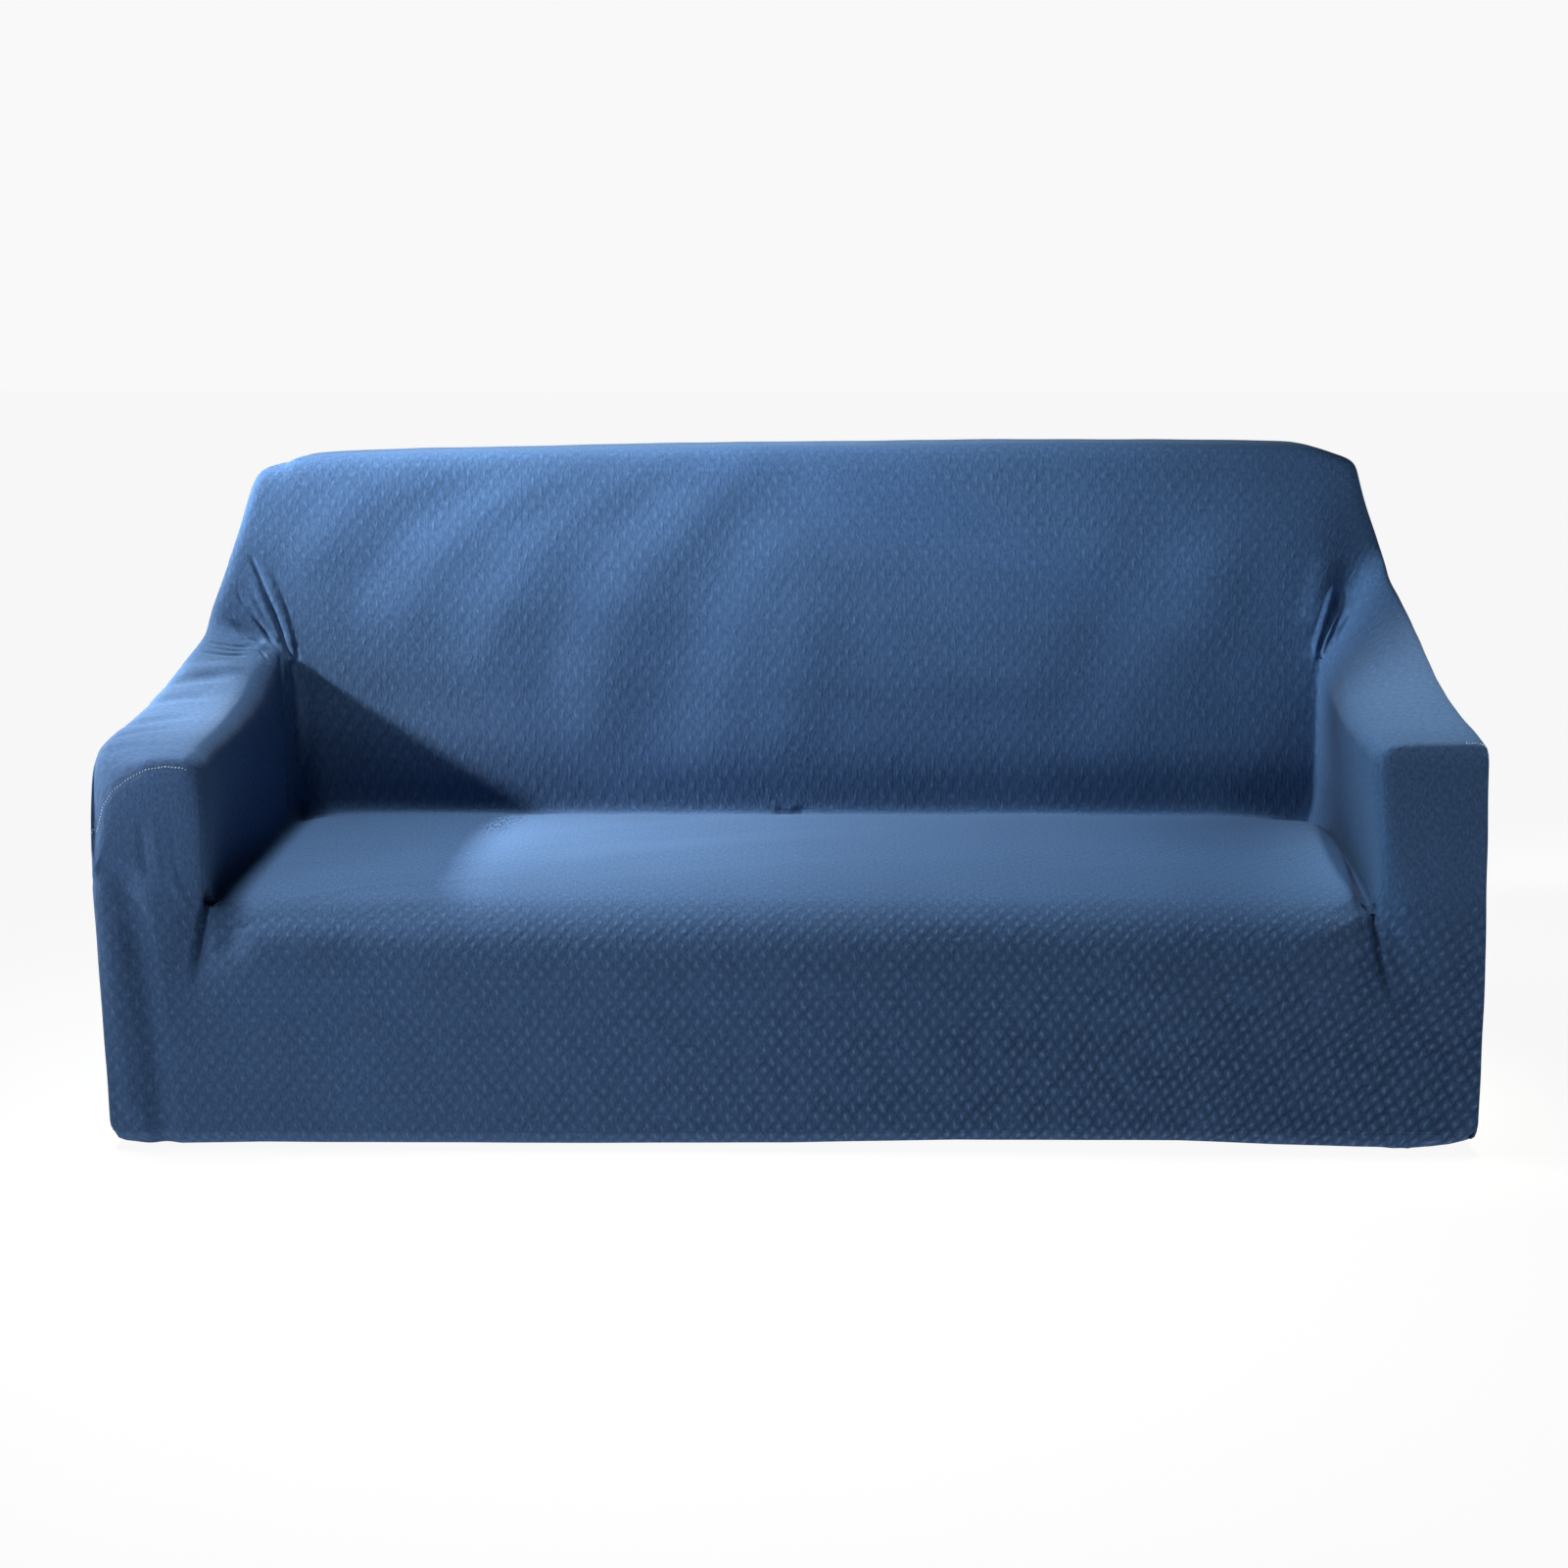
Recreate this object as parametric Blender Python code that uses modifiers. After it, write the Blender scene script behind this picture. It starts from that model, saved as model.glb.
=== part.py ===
"""A fitted stretch slipcover for a three-seat sofa, as six sewn panels of knitted cloth.

The cover hangs in the shape it takes when it is stretched over a sofa. It is hollow and open
at the hem. Its form is a cage of quads on a lattice of named stations, which Subdivision
Surface rounds. Each panel is then cut out along its seams and thickened inwards, mitred with
its neighbours.

Working frame: x across (0 at the middle), y back from the front of the arms, z up from the
hem. The finished part is shifted so that its origin is under the crown of the back, where
the sofa carries the cover.
"""

from typing import NamedTuple

import bmesh
import bpy
from mathutils import Vector

# Driving sizes, in metres.
SEAT_HALF = 0.820          # from the middle to the inner face of an arm
ARM_OUT = 0.962            # from the middle to the outer face of an arm
SEAT_DEPTH = 0.600         # from the front of the arms to the crease at the back
TOTAL_DEPTH = 0.840
SEAT_TOP = 0.352           # heights above the hem
ARM_TOP = 0.563
CROWN = 0.934
CLOTH = 0.002              # thickness of the knit
SEAM_GAP = 0.0003          # between two panels at a seam
BACK_LEAN = 0.080          # how far the inside back leans from the seat to the crown
BACK_SWELL = 0.014         # how far the inside back swells forwards at its middle
SEAT_SWELL = 0.008         # how far the deck rises at its middle
TUCK_DROP = 0.026          # depth of the creases round the deck
TUCK_REACH = 0.016         # how far the crease at the back runs in under the inside back
CORNER_GROOVE = 0.013      # depth of the groove between the skirt's top and the arm's front
GROOVE_BULGE = 0.006       # how far the skirt swells forwards beside that groove
RIGHT_GROOVE = 0.022       # how much wider the crease beside the right arm is at its rear
SEAM_FLARE = 0.085         # how far the skirt's side seams run outwards from seat to hem
FLARE_CURVE = 1.3          # above 1, those seams fall steeper near the seat
HANG_POINT = Vector((0.0, 0.760, 0.9268))  # under the crown of the back, on the middle

# Stations of the cage. Close pairs round the edge between them.
HALF_X = (0.0, 0.20, 0.40, 0.60, 0.765, SEAT_HALF, 0.850, 0.890, 0.930, ARM_OUT)
STATIONS_X = tuple(-x for x in reversed(HALF_X[1:])) + HALF_X
STATIONS_Y = (0.0, 0.048, 0.160, 0.300, 0.440, 0.550, SEAT_DEPTH, 0.660, 0.780, TOTAL_DEPTH)
STATIONS_Z = (0.0, 0.100, 0.205, 0.297, SEAT_TOP, 0.405, 0.527, ARM_TOP,
              0.607, 0.667, 0.757, 0.875, CROWN)
SHOULDER_X = HALF_X[4]     # where the deck starts to fall into the crease beside an arm
SHOULDER_Y = STATIONS_Y[5]
WIDENS_Y = STATIONS_Y[2]   # behind this the crease beside the right arm grows wider
ARM_RISE_X = 0.665         # outside this the heights of the arm's top act on the cage
GROOVE_HEIGHTS = STATIONS_Z[3:5]  # the groove beside the skirt runs down to below the seat
FACING_TOP = STATIONS_Z[6]  # the last station under the arm's top
ARM_FACE_LOW = STATIONS_Z[2]   # the inner face of an arm is shifted only between these heights
ARM_FACE_HIGH = STATIONS_Z[9]
ARM_FACE_BACK = STATIONS_Y[7]  # and in front of this


class SideWidth(NamedTuple):
    """Half width of the outline at one height."""

    height: float
    left: float
    right: float


class ArmHeight(NamedTuple):
    """Height of the arm's top at one place from the front, at its inner and outer edge."""

    back: float
    left_inner: float
    left_outer: float
    right_inner: float
    right_outer: float


class ArmInner(NamedTuple):
    """From the middle to an arm's inner face, at the seat and at the arm's top."""

    back: float
    left_low: float
    left_high: float
    right_low: float
    right_high: float


class CrownDip(NamedTuple):
    """How far the crown lies under its highest point, across the cover."""

    across: float
    dip: float


class FacingSeam(NamedTuple):
    """How far the left facing's top seam lies under the arm's top edge."""

    across: float
    drop: float


class Fold(NamedTuple):
    """A soft ridge (height above 0) or trough (below 0) that the cloth makes between two points."""

    name: str
    start: tuple
    end: tuple
    half_width: float
    height: float


SIDE_WIDTHS = (
    SideWidth(0.000, 0.951, 0.962),
    SideWidth(0.205, 0.957, 0.957),
    SideWidth(0.455, 0.960, 0.951),
    SideWidth(0.563, 0.953, 0.943),
    SideWidth(0.655, 0.945, 0.957),
    SideWidth(0.711, 0.922, 0.960),
    SideWidth(0.772, 0.902, 0.950),
    SideWidth(0.823, 0.887, 0.929),
    SideWidth(0.877, 0.866, 0.913),
    SideWidth(0.934, 0.846, 0.905),
)

ARM_HEIGHTS = (
    ArmHeight(0.00, 0.555, 0.556, 0.573, 0.575),
    ArmHeight(0.16, 0.558, 0.565, 0.575, 0.585),
    ArmHeight(0.30, 0.560, 0.577, 0.578, 0.611),
    ArmHeight(0.44, 0.571, 0.600, 0.583, 0.658),
    ArmHeight(0.55, 0.592, 0.624, 0.591, 0.712),
    ArmHeight(0.60, 0.607, 0.636, 0.597, 0.736),
    ArmHeight(0.72, 0.619, 0.656, 0.611, 0.774),
    ArmHeight(0.84, 0.627, 0.668, 0.619, 0.794),
)

ARM_INNERS = (
    ArmInner(0.00, 0.806, 0.797, 0.815, 0.803),
    ArmInner(0.16, 0.815, 0.800, 0.832, 0.812),
    ArmInner(0.30, 0.806, 0.806, 0.848, 0.824),
    ArmInner(0.44, 0.802, 0.814, 0.855, 0.840),
    ArmInner(0.60, 0.801, 0.824, 0.852, 0.854),
)

CROWN_DIPS = (
    CrownDip(-0.96, 0.034),
    CrownDip(-0.80, 0.020),
    CrownDip(-0.42, 0.012),
    CrownDip(0.00, 0.005),
    CrownDip(0.45, 0.000),
    CrownDip(0.70, 0.002),
    CrownDip(0.86, 0.007),
    CrownDip(0.96, 0.022),
)

LEFT_FACING_SEAM = (
    FacingSeam(0.820, 0.030),
    FacingSeam(0.850, 0.020),
    FacingSeam(0.890, 0.022),
    FacingSeam(0.930, 0.042),
    FacingSeam(0.962, 0.120),
)

FOLDS = (
    Fold("left gather, upper crease", (-0.890, 0.672, 0.766), (-0.826, 0.610, 0.612), 0.017, -0.012),
    Fold("left gather, ridge inside it", (-0.866, 0.664, 0.748), (-0.805, 0.612, 0.632), 0.020, 0.007),
    Fold("left gather, middle crease", (-0.903, 0.646, 0.694), (-0.834, 0.606, 0.612), 0.017, -0.011),
    Fold("left gather, ridge between", (-0.902, 0.660, 0.736), (-0.842, 0.612, 0.632), 0.018, 0.007),
    Fold("left gather, lower crease", (-0.935, 0.604, 0.652), (-0.852, 0.590, 0.612), 0.018, -0.010),
    Fold("left tuck down the back", (-0.792, 0.612, 0.610), (-0.786, 0.612, 0.372), 0.020, 0.008),
    Fold("right gather, inner trough", (0.902, 0.676, 0.770), (0.852, 0.612, 0.612), 0.018, -0.013),
    Fold("right gather, inner ridge", (0.880, 0.676, 0.784), (0.830, 0.612, 0.625), 0.020, 0.008),
    Fold("right gather, outer ridge", (0.920, 0.670, 0.768), (0.868, 0.612, 0.640), 0.018, 0.008),
    Fold("right gather, outer trough", (0.936, 0.660, 0.752), (0.888, 0.612, 0.655), 0.018, -0.008),
    Fold("right tuck down the back", (0.830, 0.612, 0.590), (0.836, 0.612, 0.372), 0.020, 0.006),
    Fold("deck wave", (-0.40, 0.430, 0.352), (0.26, 0.560, 0.352), 0.060, -0.004),
    Fold("deck swell in front of it", (-0.50, 0.330, 0.352), (0.20, 0.460, 0.352), 0.070, 0.004),
    Fold("pull at the left seat corner", (-0.780, 0.000, 0.292), (-0.735, 0.000, 0.277), 0.030, -0.004),
    Fold("pull at the right seat corner", (0.850, 0.000, 0.302), (0.800, 0.000, 0.277), 0.030, -0.006),
)
FADE_IN = (-0.05, 0.35)    # shares of a fold's length between which its height comes in
FINE_FOLD = 0.021          # folds with a half width up to this get a finer mesh
REFINE_REACH = 1.4         # the finer mesh reaches this many half widths from such a fold


class Panel(NamedTuple):
    """One cut panel: its node's name and the colour of its cloth in the solid's material."""

    name: str
    colour: tuple


PANELS = (
    Panel("seat_panel", (0.055, 0.130, 0.270)),
    Panel("back_panel", (0.060, 0.145, 0.300)),
    Panel("arm_panel_left", (0.065, 0.150, 0.305)),
    Panel("arm_panel_right", (0.055, 0.135, 0.280)),
    Panel("arm_front_left", (0.050, 0.120, 0.250)),
    Panel("arm_front_right", (0.050, 0.120, 0.250)),
)
PANEL_INDEX = {panel.name: index for index, panel in enumerate(PANELS)}
CLOTH_ROUGHNESS = 0.85
TUCK_CREASE = 1.0          # sharpness of the seams that lie in a crease
FACING_CREASE = 0.55       # sharpness of the seam round the right facing
INWARD_BEND = 0.004        # seams that bend inwards by more than this lie in a crease
MITRE_LIMIT = 1.5          # longest mitre at a seam, in thicknesses of cloth
LEAST_MEAN = 0.5           # shortest mean of the unit steps away from a seam's edges


def smooth_step(low, high, value):
    """Ease from 0 at low to 1 at high."""
    t = min(1.0, max(0.0, (value - low) / (high - low)))
    return t * t * (3.0 - 2.0 * t)


def read_table(rows, key, column, value):
    """Straight-line reading of one column of a table, at a value of its key column."""
    before = rows[0]
    for row in rows:
        place = getattr(row, key)
        if value <= place:
            start = getattr(before, key)
            share = (value - start) / (place - start) if place > start else 0.0
            return getattr(before, column) * (1.0 - share) + getattr(row, column) * share
        before = row
    return getattr(rows[-1], column)


def arm_top_height(x, y):
    """Height of the arm's top: its two edges differ where the cloth bridges up to the back."""
    side = "left" if x < 0.0 else "right"
    inner = read_table(ARM_HEIGHTS, "back", side + "_inner", y)
    outer = read_table(ARM_HEIGHTS, "back", side + "_outer", y)
    share = smooth_step(SEAT_HALF, ARM_OUT, abs(x))
    height = inner * (1.0 - share) + outer * share
    return ARM_TOP + (height - ARM_TOP) * smooth_step(ARM_RISE_X, SEAT_HALF, abs(x))


def real_height(x, y, z):
    """Stretch the cage's heights so that the arm's top and the crown follow their tables."""
    crown = CROWN - read_table(CROWN_DIPS, "across", "dip", x)
    arm = arm_top_height(x, y)
    if z <= SEAT_TOP:
        return z
    if z <= ARM_TOP:
        return SEAT_TOP + (z - SEAT_TOP) * (arm - SEAT_TOP) / (ARM_TOP - SEAT_TOP)
    return arm + (z - ARM_TOP) * (crown - arm) / (CROWN - ARM_TOP)


def real_depth(x, y, z):
    """Lean and swell of the back, whose outside stays upright."""
    if y < SEAT_DEPTH:
        return y
    share = (TOTAL_DEPTH - y) / (TOTAL_DEPTH - SEAT_DEPTH)
    rise = max(0.0, z - SEAT_TOP) / (CROWN - SEAT_TOP)
    swell = BACK_SWELL * max(0.0, 1.0 - (x / SEAT_HALF) ** 2) * 4.0 * rise * (1.0 - rise)
    return y + share * (BACK_LEAN * rise - swell)


def arm_inner_shift(x, y, z):
    """How far the inner face of an arm stands off its station."""
    side = "left" if x < 0.0 else "right"
    low = read_table(ARM_INNERS, "back", side + "_low", y)
    high = read_table(ARM_INNERS, "back", side + "_high", y)
    rise = smooth_step(SEAT_TOP, ARM_TOP, z)
    near = smooth_step(HALF_X[3], SEAT_HALF, abs(x)) - smooth_step(SEAT_HALF, HALF_X[8], abs(x))
    reach = smooth_step(ARM_FACE_LOW, SEAT_TOP, z) * (1.0 - smooth_step(ARM_TOP, ARM_FACE_HIGH, z))
    if y > ARM_FACE_BACK:
        reach = 0.0
    return (low * (1.0 - rise) + high * rise - SEAT_HALF) * near * reach


def real_width(x, y, z, height):
    """Follow the outline's half widths, and run the skirt's side seams outwards to the hem."""
    side = "left" if x < 0.0 else "right"
    sign = -1.0 if x < 0.0 else 1.0
    outline = read_table(SIDE_WIDTHS, "height", side, height)
    across = abs(x)
    share = smooth_step(SHOULDER_X, ARM_OUT, across)
    across += (outline - ARM_OUT) * share + arm_inner_shift(x, y, z)
    if y == 0.0 and z < SEAT_TOP and SEAT_HALF <= abs(x) < ARM_OUT:
        fall = ((SEAT_TOP - z) / SEAT_TOP) ** FLARE_CURVE
        left_over = (ARM_OUT - abs(x)) / (ARM_OUT - SEAT_HALF)
        across += SEAM_FLARE * fall * left_over
    return sign * across


def place_station(x, y, z):
    """Move a point of the lattice to its place on the stretched cover.

    Args:
        x, y, z: stations of the lattice.
    Returns:
        The point in the working frame.
    """
    height = real_height(x, y, z)
    point = Vector((real_width(x, y, z, height), real_depth(x, y, z), height))
    if z == SEAT_TOP and y <= SEAT_DEPTH and abs(x) <= SEAT_HALF:
        across = 1.0 - (x / SEAT_HALF) ** 2
        along = 1.0 - (2.0 * y / SEAT_DEPTH - 1.0) ** 2
        point.z += SEAT_SWELL * across * along
        if abs(x) == SEAT_HALF:
            point.z -= TUCK_DROP
        if y == SEAT_DEPTH:
            point.z -= TUCK_DROP
            point.y += TUCK_REACH
    if y == 0.0 and z in GROOVE_HEIGHTS:
        if abs(x) == SEAT_HALF:
            point.y += CORNER_GROOVE
        if abs(x) == SHOULDER_X:
            point.y -= GROOVE_BULGE
    if x == SHOULDER_X and z == SEAT_TOP and SEAT_DEPTH > y > WIDENS_Y:
        point.x -= RIGHT_GROOVE * smooth_step(WIDENS_Y, SHOULDER_Y, y)
    if y == 0.0 and z == FACING_TOP and abs(x) >= SEAT_HALF and x < 0.0:
        top = arm_top_height(x, y)
        point.z = top - read_table(LEFT_FACING_SEAM, "across", "drop", abs(x))
    return point


def inside_sofa(x, y, z):
    """Tell whether the middle of a lattice cell lies inside the covered sofa."""
    if z < SEAT_TOP:
        return True
    if z < ARM_TOP:
        return abs(x) > SEAT_HALF or y > SEAT_DEPTH
    return y > SEAT_DEPTH


def panel_of(middle, axis, sign):
    """Name the panel that a cage face belongs to.

    Args:
        middle: the face's middle, in lattice coordinates.
        axis: 0, 1 or 2, the axis that the face looks along.
        sign: -1 or 1, the way it looks.
    Returns:
        The panel's index.
    """
    x, y, z = middle
    side = "left" if x < 0.0 else "right"
    on_arm = abs(x) > SEAT_HALF
    if axis == 1 and sign < 0 and y < SHOULDER_Y:
        if not on_arm:
            return PANEL_INDEX["seat_panel"]
        wrapped = side == "left" and z > FACING_TOP
        return PANEL_INDEX[("arm_panel_" if wrapped else "arm_front_") + side]
    if axis == 0 and z < ARM_TOP:
        return PANEL_INDEX["arm_panel_" + side]
    if axis == 2 and y < SEAT_DEPTH:
        return PANEL_INDEX["arm_panel_" + side if on_arm else "seat_panel"]
    return PANEL_INDEX["back_panel"]


def corner_steps(axis, sign):
    """Give the four corners of a cell's face in the order that makes it look outwards."""
    first, second = [other for other in range(3) if other != axis]
    loop = [(0, 0), (1, 0), (1, 1), (0, 1)]
    if (axis == 1) != (sign < 0):
        loop.reverse()
    steps = []
    for a, b in loop:
        step = [0, 0, 0]
        step[axis] = 1 if sign > 0 else 0
        step[first] = a
        step[second] = b
        steps.append(tuple(step))
    return steps


def build_cage():
    """Make the cage: the skin of the lattice cells inside the sofa, open at the hem.

    Returns:
        A mesh with one material index for each panel and sharp creases along the tucks.
    """
    stations = (STATIONS_X, STATIONS_Y, STATIONS_Z)
    counts = [len(line) - 1 for line in stations]

    def filled(cell):
        if any(n < 0 or n >= count for n, count in zip(cell, counts)):
            return False
        middle = [(line[n] + line[n + 1]) / 2.0 for line, n in zip(stations, cell)]
        return inside_sofa(*middle)

    cage = bmesh.new()
    corners = {}

    def corner(index):
        if index not in corners:
            place = place_station(*(line[n] for line, n in zip(stations, index)))
            corners[index] = cage.verts.new(place)
        return corners[index]

    for i in range(counts[0]):
        for j in range(counts[1]):
            for k in range(counts[2]):
                if not filled((i, j, k)):
                    continue
                for axis in range(3):
                    for sign in (-1, 1):
                        add_skin_face(cage, corner, filled, stations, (i, j, k), axis, sign)
    crease_layer = cage.edges.layers.float.new("crease_edge")
    for edge in cage.edges:
        edge[crease_layer] = seam_crease(edge)
    mesh = bpy.data.meshes.new("cage")
    cage.to_mesh(mesh)
    cage.free()
    return mesh


def add_skin_face(cage, corner, filled, stations, cell, axis, sign):
    """Add one face of a cell to the cage where the cell beyond it is empty."""
    beyond = list(cell)
    beyond[axis] += sign
    hem_side = axis == 2 and sign < 0 and cell[2] == 0
    if hem_side or filled(tuple(beyond)):
        return
    steps = corner_steps(axis, sign)
    indices = [tuple(n + step for n, step in zip(cell, corner_step)) for corner_step in steps]
    face = cage.faces.new([corner(index) for index in indices])
    middle = [sum(line[index[n]] for index in indices) / 4.0 for n, line in enumerate(stations)]
    face.material_index = panel_of(middle, axis, sign)


def seam_crease(edge):
    """Sharpness of a cage edge: full in the tucks, slight along the facings, else none."""
    if len(edge.link_faces) != 2:
        return 0.0
    first, second = edge.link_faces
    if first.material_index == second.material_index:
        return 0.0
    inward = (second.calc_center_median() - first.calc_center_median()).dot(first.normal)
    names = {PANELS[first.material_index].name, PANELS[second.material_index].name}
    if inward > INWARD_BEND:
        return TUCK_CREASE
    if "arm_front_right" in names and "arm_panel_right" in names:
        return FACING_CREASE
    return 0.0


def distance_to_fold(point, fold):
    """Give how far a point lies from a fold's line, and its share of the way along it."""
    start = Vector(fold.start)
    run = Vector(fold.end) - start
    along = (point - start).dot(run) / run.length_squared
    held = min(1.0, max(0.0, along))
    return (point - start - run * held).length, held


def fold_height(point):
    """Sum the folds' heights at a point of the surface."""
    height = 0.0
    for fold in FOLDS:
        distance, held = distance_to_fold(point, fold)
        if distance < fold.half_width:
            profile = (1.0 - (distance / fold.half_width) ** 2) ** 2
            fade = smooth_step(*FADE_IN, held)
            height += fold.height * profile * fade
    return height


def refine_near_folds(skin):
    """Halve the faces that the narrow folds cross, so that their troughs and ridges show."""
    narrow = [fold for fold in FOLDS if fold.half_width <= FINE_FOLD]
    crossed = set()
    for face in skin.faces:
        middle = face.calc_center_median()
        if any(distance_to_fold(middle, fold)[0] < REFINE_REACH * fold.half_width for fold in narrow):
            crossed.update(face.edges)
    bmesh.ops.subdivide_edges(skin, edges=list(crossed), cuts=1, use_grid_fill=True)
    skin.normal_update()


def round_cage(cage_mesh):
    """Round the cage with Subdivision Surface and press the folds into it.

    Returns:
        The whole cover's outer face as one mesh.
    """
    cage_object = bpy.data.objects.new("cage", cage_mesh)
    bpy.context.scene.collection.objects.link(cage_object)
    rounding = cage_object.modifiers.new("rounding", "SUBSURF")
    rounding.levels = 1
    rounding.render_levels = 1
    bpy.context.view_layer.update()
    evaluated = cage_object.evaluated_get(bpy.context.evaluated_depsgraph_get())
    whole = bpy.data.meshes.new_from_object(evaluated)
    bpy.data.objects.remove(cage_object)
    skin = bmesh.new()
    skin.from_mesh(whole)
    skin.normal_update()
    refine_near_folds(skin)
    moves = [vert.normal * fold_height(vert.co) for vert in skin.verts]
    for vert, move in zip(skin.verts, moves):
        vert.co += move
    skin.normal_update()
    return skin


def seam_pull(vert):
    """Give, for each panel at a vertex, the step that draws its border back from the seam."""
    pulls = {}
    for edge in vert.link_edges:
        if len(edge.link_faces) != 2:
            continue
        if edge.link_faces[0].material_index == edge.link_faces[1].material_index:
            continue
        run = (edge.verts[1].co - edge.verts[0].co).normalized()
        for face in edge.link_faces:
            across = face.normal.cross(run).normalized()
            if across.dot(face.calc_center_median() - edge.verts[0].co) < 0.0:
                across.negate()
            pulls.setdefault(face.material_index, []).append(across)
    steps = {}
    for index, directions in pulls.items():
        mean = sum(directions, Vector()) / len(directions)
        length = max(mean.length, LEAST_MEAN)
        steps[index] = mean / (length * length) * (SEAM_GAP / 2.0)
    return steps


def cut_panel(skin, index):
    """Cut one panel out of the skin and thicken it inwards.

    The thickness runs along the whole cover's normals, so panels are mitred at their seams.

    Args:
        skin: the whole cover's outer face.
        index: the panel's material index.
    Returns:
        A closed mesh.
    """
    cloth = skin.copy()
    cloth.verts.ensure_lookup_table()
    inward = cloth.verts.layers.float_vector.new("inward")
    for vert in cloth.verts:
        vert[inward] = vert.normal * (-CLOTH * min(vert.calc_shell_factor(), MITRE_LIMIT))
    pulls = [seam_pull(vert).get(index, Vector()) for vert in cloth.verts]
    for vert, pull in zip(cloth.verts, pulls):
        vert.co += pull
    others = [face for face in cloth.faces if face.material_index != index]
    bmesh.ops.delete(cloth, geom=others, context="FACES")
    grown = bmesh.ops.extrude_face_region(cloth, geom=cloth.faces[:], use_keep_orig=True)
    for item in grown["geom"]:
        if isinstance(item, bmesh.types.BMVert):
            item.co += item[inward]
    bmesh.ops.triangulate(cloth, faces=cloth.faces[:])
    bmesh.ops.recalc_face_normals(cloth, faces=cloth.faces[:])
    for face in cloth.faces:
        face.material_index = 0
        face.smooth = True
    bmesh.ops.translate(cloth, verts=cloth.verts[:], vec=-HANG_POINT)
    mesh = bpy.data.meshes.new(PANELS[index].name)
    cloth.verts.layers.float_vector.remove(inward)
    cloth.to_mesh(mesh)
    cloth.free()
    return mesh


def knit_material(panel):
    """Plain cloth finish for one panel's solid."""
    material = bpy.data.materials.new(panel.name + "_knit")
    material.use_nodes = True
    shader = material.node_tree.nodes["Principled BSDF"]
    shader.inputs["Base Color"].default_value = (*panel.colour, 1.0)
    shader.inputs["Roughness"].default_value = CLOTH_ROUGHNESS
    shader.inputs["Metallic"].default_value = 0.0
    return material


def build_cover():
    """Model the cover: one object for each panel, in a collection of its own."""
    for item in list(bpy.data.objects):
        bpy.data.objects.remove(item)
    collection = bpy.data.collections.new("sofa_slipcover")
    bpy.context.scene.collection.children.link(collection)
    skin = round_cage(build_cage())
    for index, panel in enumerate(PANELS):
        mesh = cut_panel(skin, index)
        mesh.materials.append(knit_material(panel))
        collection.objects.link(bpy.data.objects.new(panel.name, mesh))
    skin.free()


build_cover()
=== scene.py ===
"""Looks of a fitted stretch slipcover for a three-seat sofa, in blue jacquard knit.

The cover is cloth alone, in the shape it takes when it is stretched over its sofa. One smooth
skin gives the whole form: a cage of quads on a lattice of stations, rounded by Subdivision
Surface, with every fold pressed into it. Each sewn panel is cut out of that skin and given the
thickness of the knit. The knit's raised lozenges follow the flat cloth through a UV map in
metres, and Geometry Nodes lay the stitches along the seams and the hem.

Working frame: x across (0 at the middle), y back from the front of the arms, z up from the
hem. The finished meshes are shifted so that the origin is under the crown of the back.
"""

from __future__ import annotations

import logging
import math
from dataclasses import dataclass, field
from enum import Enum
from typing import Callable, Sequence, Union

import bmesh
import bpy
import numpy as np
from mathutils import Euler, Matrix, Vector
from mathutils.kdtree import KDTree

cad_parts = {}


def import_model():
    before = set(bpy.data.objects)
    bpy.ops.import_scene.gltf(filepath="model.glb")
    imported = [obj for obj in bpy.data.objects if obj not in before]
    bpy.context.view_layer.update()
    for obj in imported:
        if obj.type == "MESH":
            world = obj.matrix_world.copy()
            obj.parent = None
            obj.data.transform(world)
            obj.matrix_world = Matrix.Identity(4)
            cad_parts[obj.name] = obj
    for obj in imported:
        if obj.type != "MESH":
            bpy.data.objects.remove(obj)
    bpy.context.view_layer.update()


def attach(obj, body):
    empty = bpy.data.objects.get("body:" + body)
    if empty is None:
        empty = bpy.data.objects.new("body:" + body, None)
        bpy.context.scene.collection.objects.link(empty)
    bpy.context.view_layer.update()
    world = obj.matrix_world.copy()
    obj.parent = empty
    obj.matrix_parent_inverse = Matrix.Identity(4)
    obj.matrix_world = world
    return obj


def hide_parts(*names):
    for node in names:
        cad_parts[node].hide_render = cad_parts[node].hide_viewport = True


LOG = logging.getLogger("slipcover")
BODY = "root"
MM = 1000.0  # millimetres in a metre

Point = tuple[float, float, float]
Colour = tuple[float, float, float]
Table = dict[float, float]
Seam = tuple[int, int, int, int]
Line = tuple[np.ndarray, np.ndarray]
Numbers = Union[float, np.ndarray]


class Panel(Enum):
    """The sewn panels, by the name of the node that each one stands for."""

    SEAT = "seat_panel"
    BACK = "back_panel"
    ARM_LEFT = "arm_panel_left"
    ARM_RIGHT = "arm_panel_right"
    FACING_LEFT = "arm_front_left"
    FACING_RIGHT = "arm_front_right"


PANELS = tuple(Panel)


def ease(low: float, high: float, value: Numbers) -> Numbers:
    """Rise smoothly from 0 at low to 1 at high."""
    t = np.clip((value - low) / (high - low), 0.0, 1.0)
    return t * t * (3.0 - 2.0 * t)


def reading(table: Table, value: Numbers) -> Numbers:
    """Straight-line reading of a table, level beyond its ends."""
    return np.interp(value, list(table), list(table.values()))


def read(items: Sequence, name: str, width: int = 1, kind: type = float) -> np.ndarray:
    """Read one property of every item of a mesh.

    Args:
        items: the mesh's points, corners, faces or values.
        name: the property.
        width: how many numbers it has.
        kind: float or int.
    Returns:
        The numbers, a row for each item where the width is over 1.
    """
    values = np.zeros(len(items) * width, kind)
    items.foreach_get(name, values)
    return values.reshape(-1, width) if width > 1 else values


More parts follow.
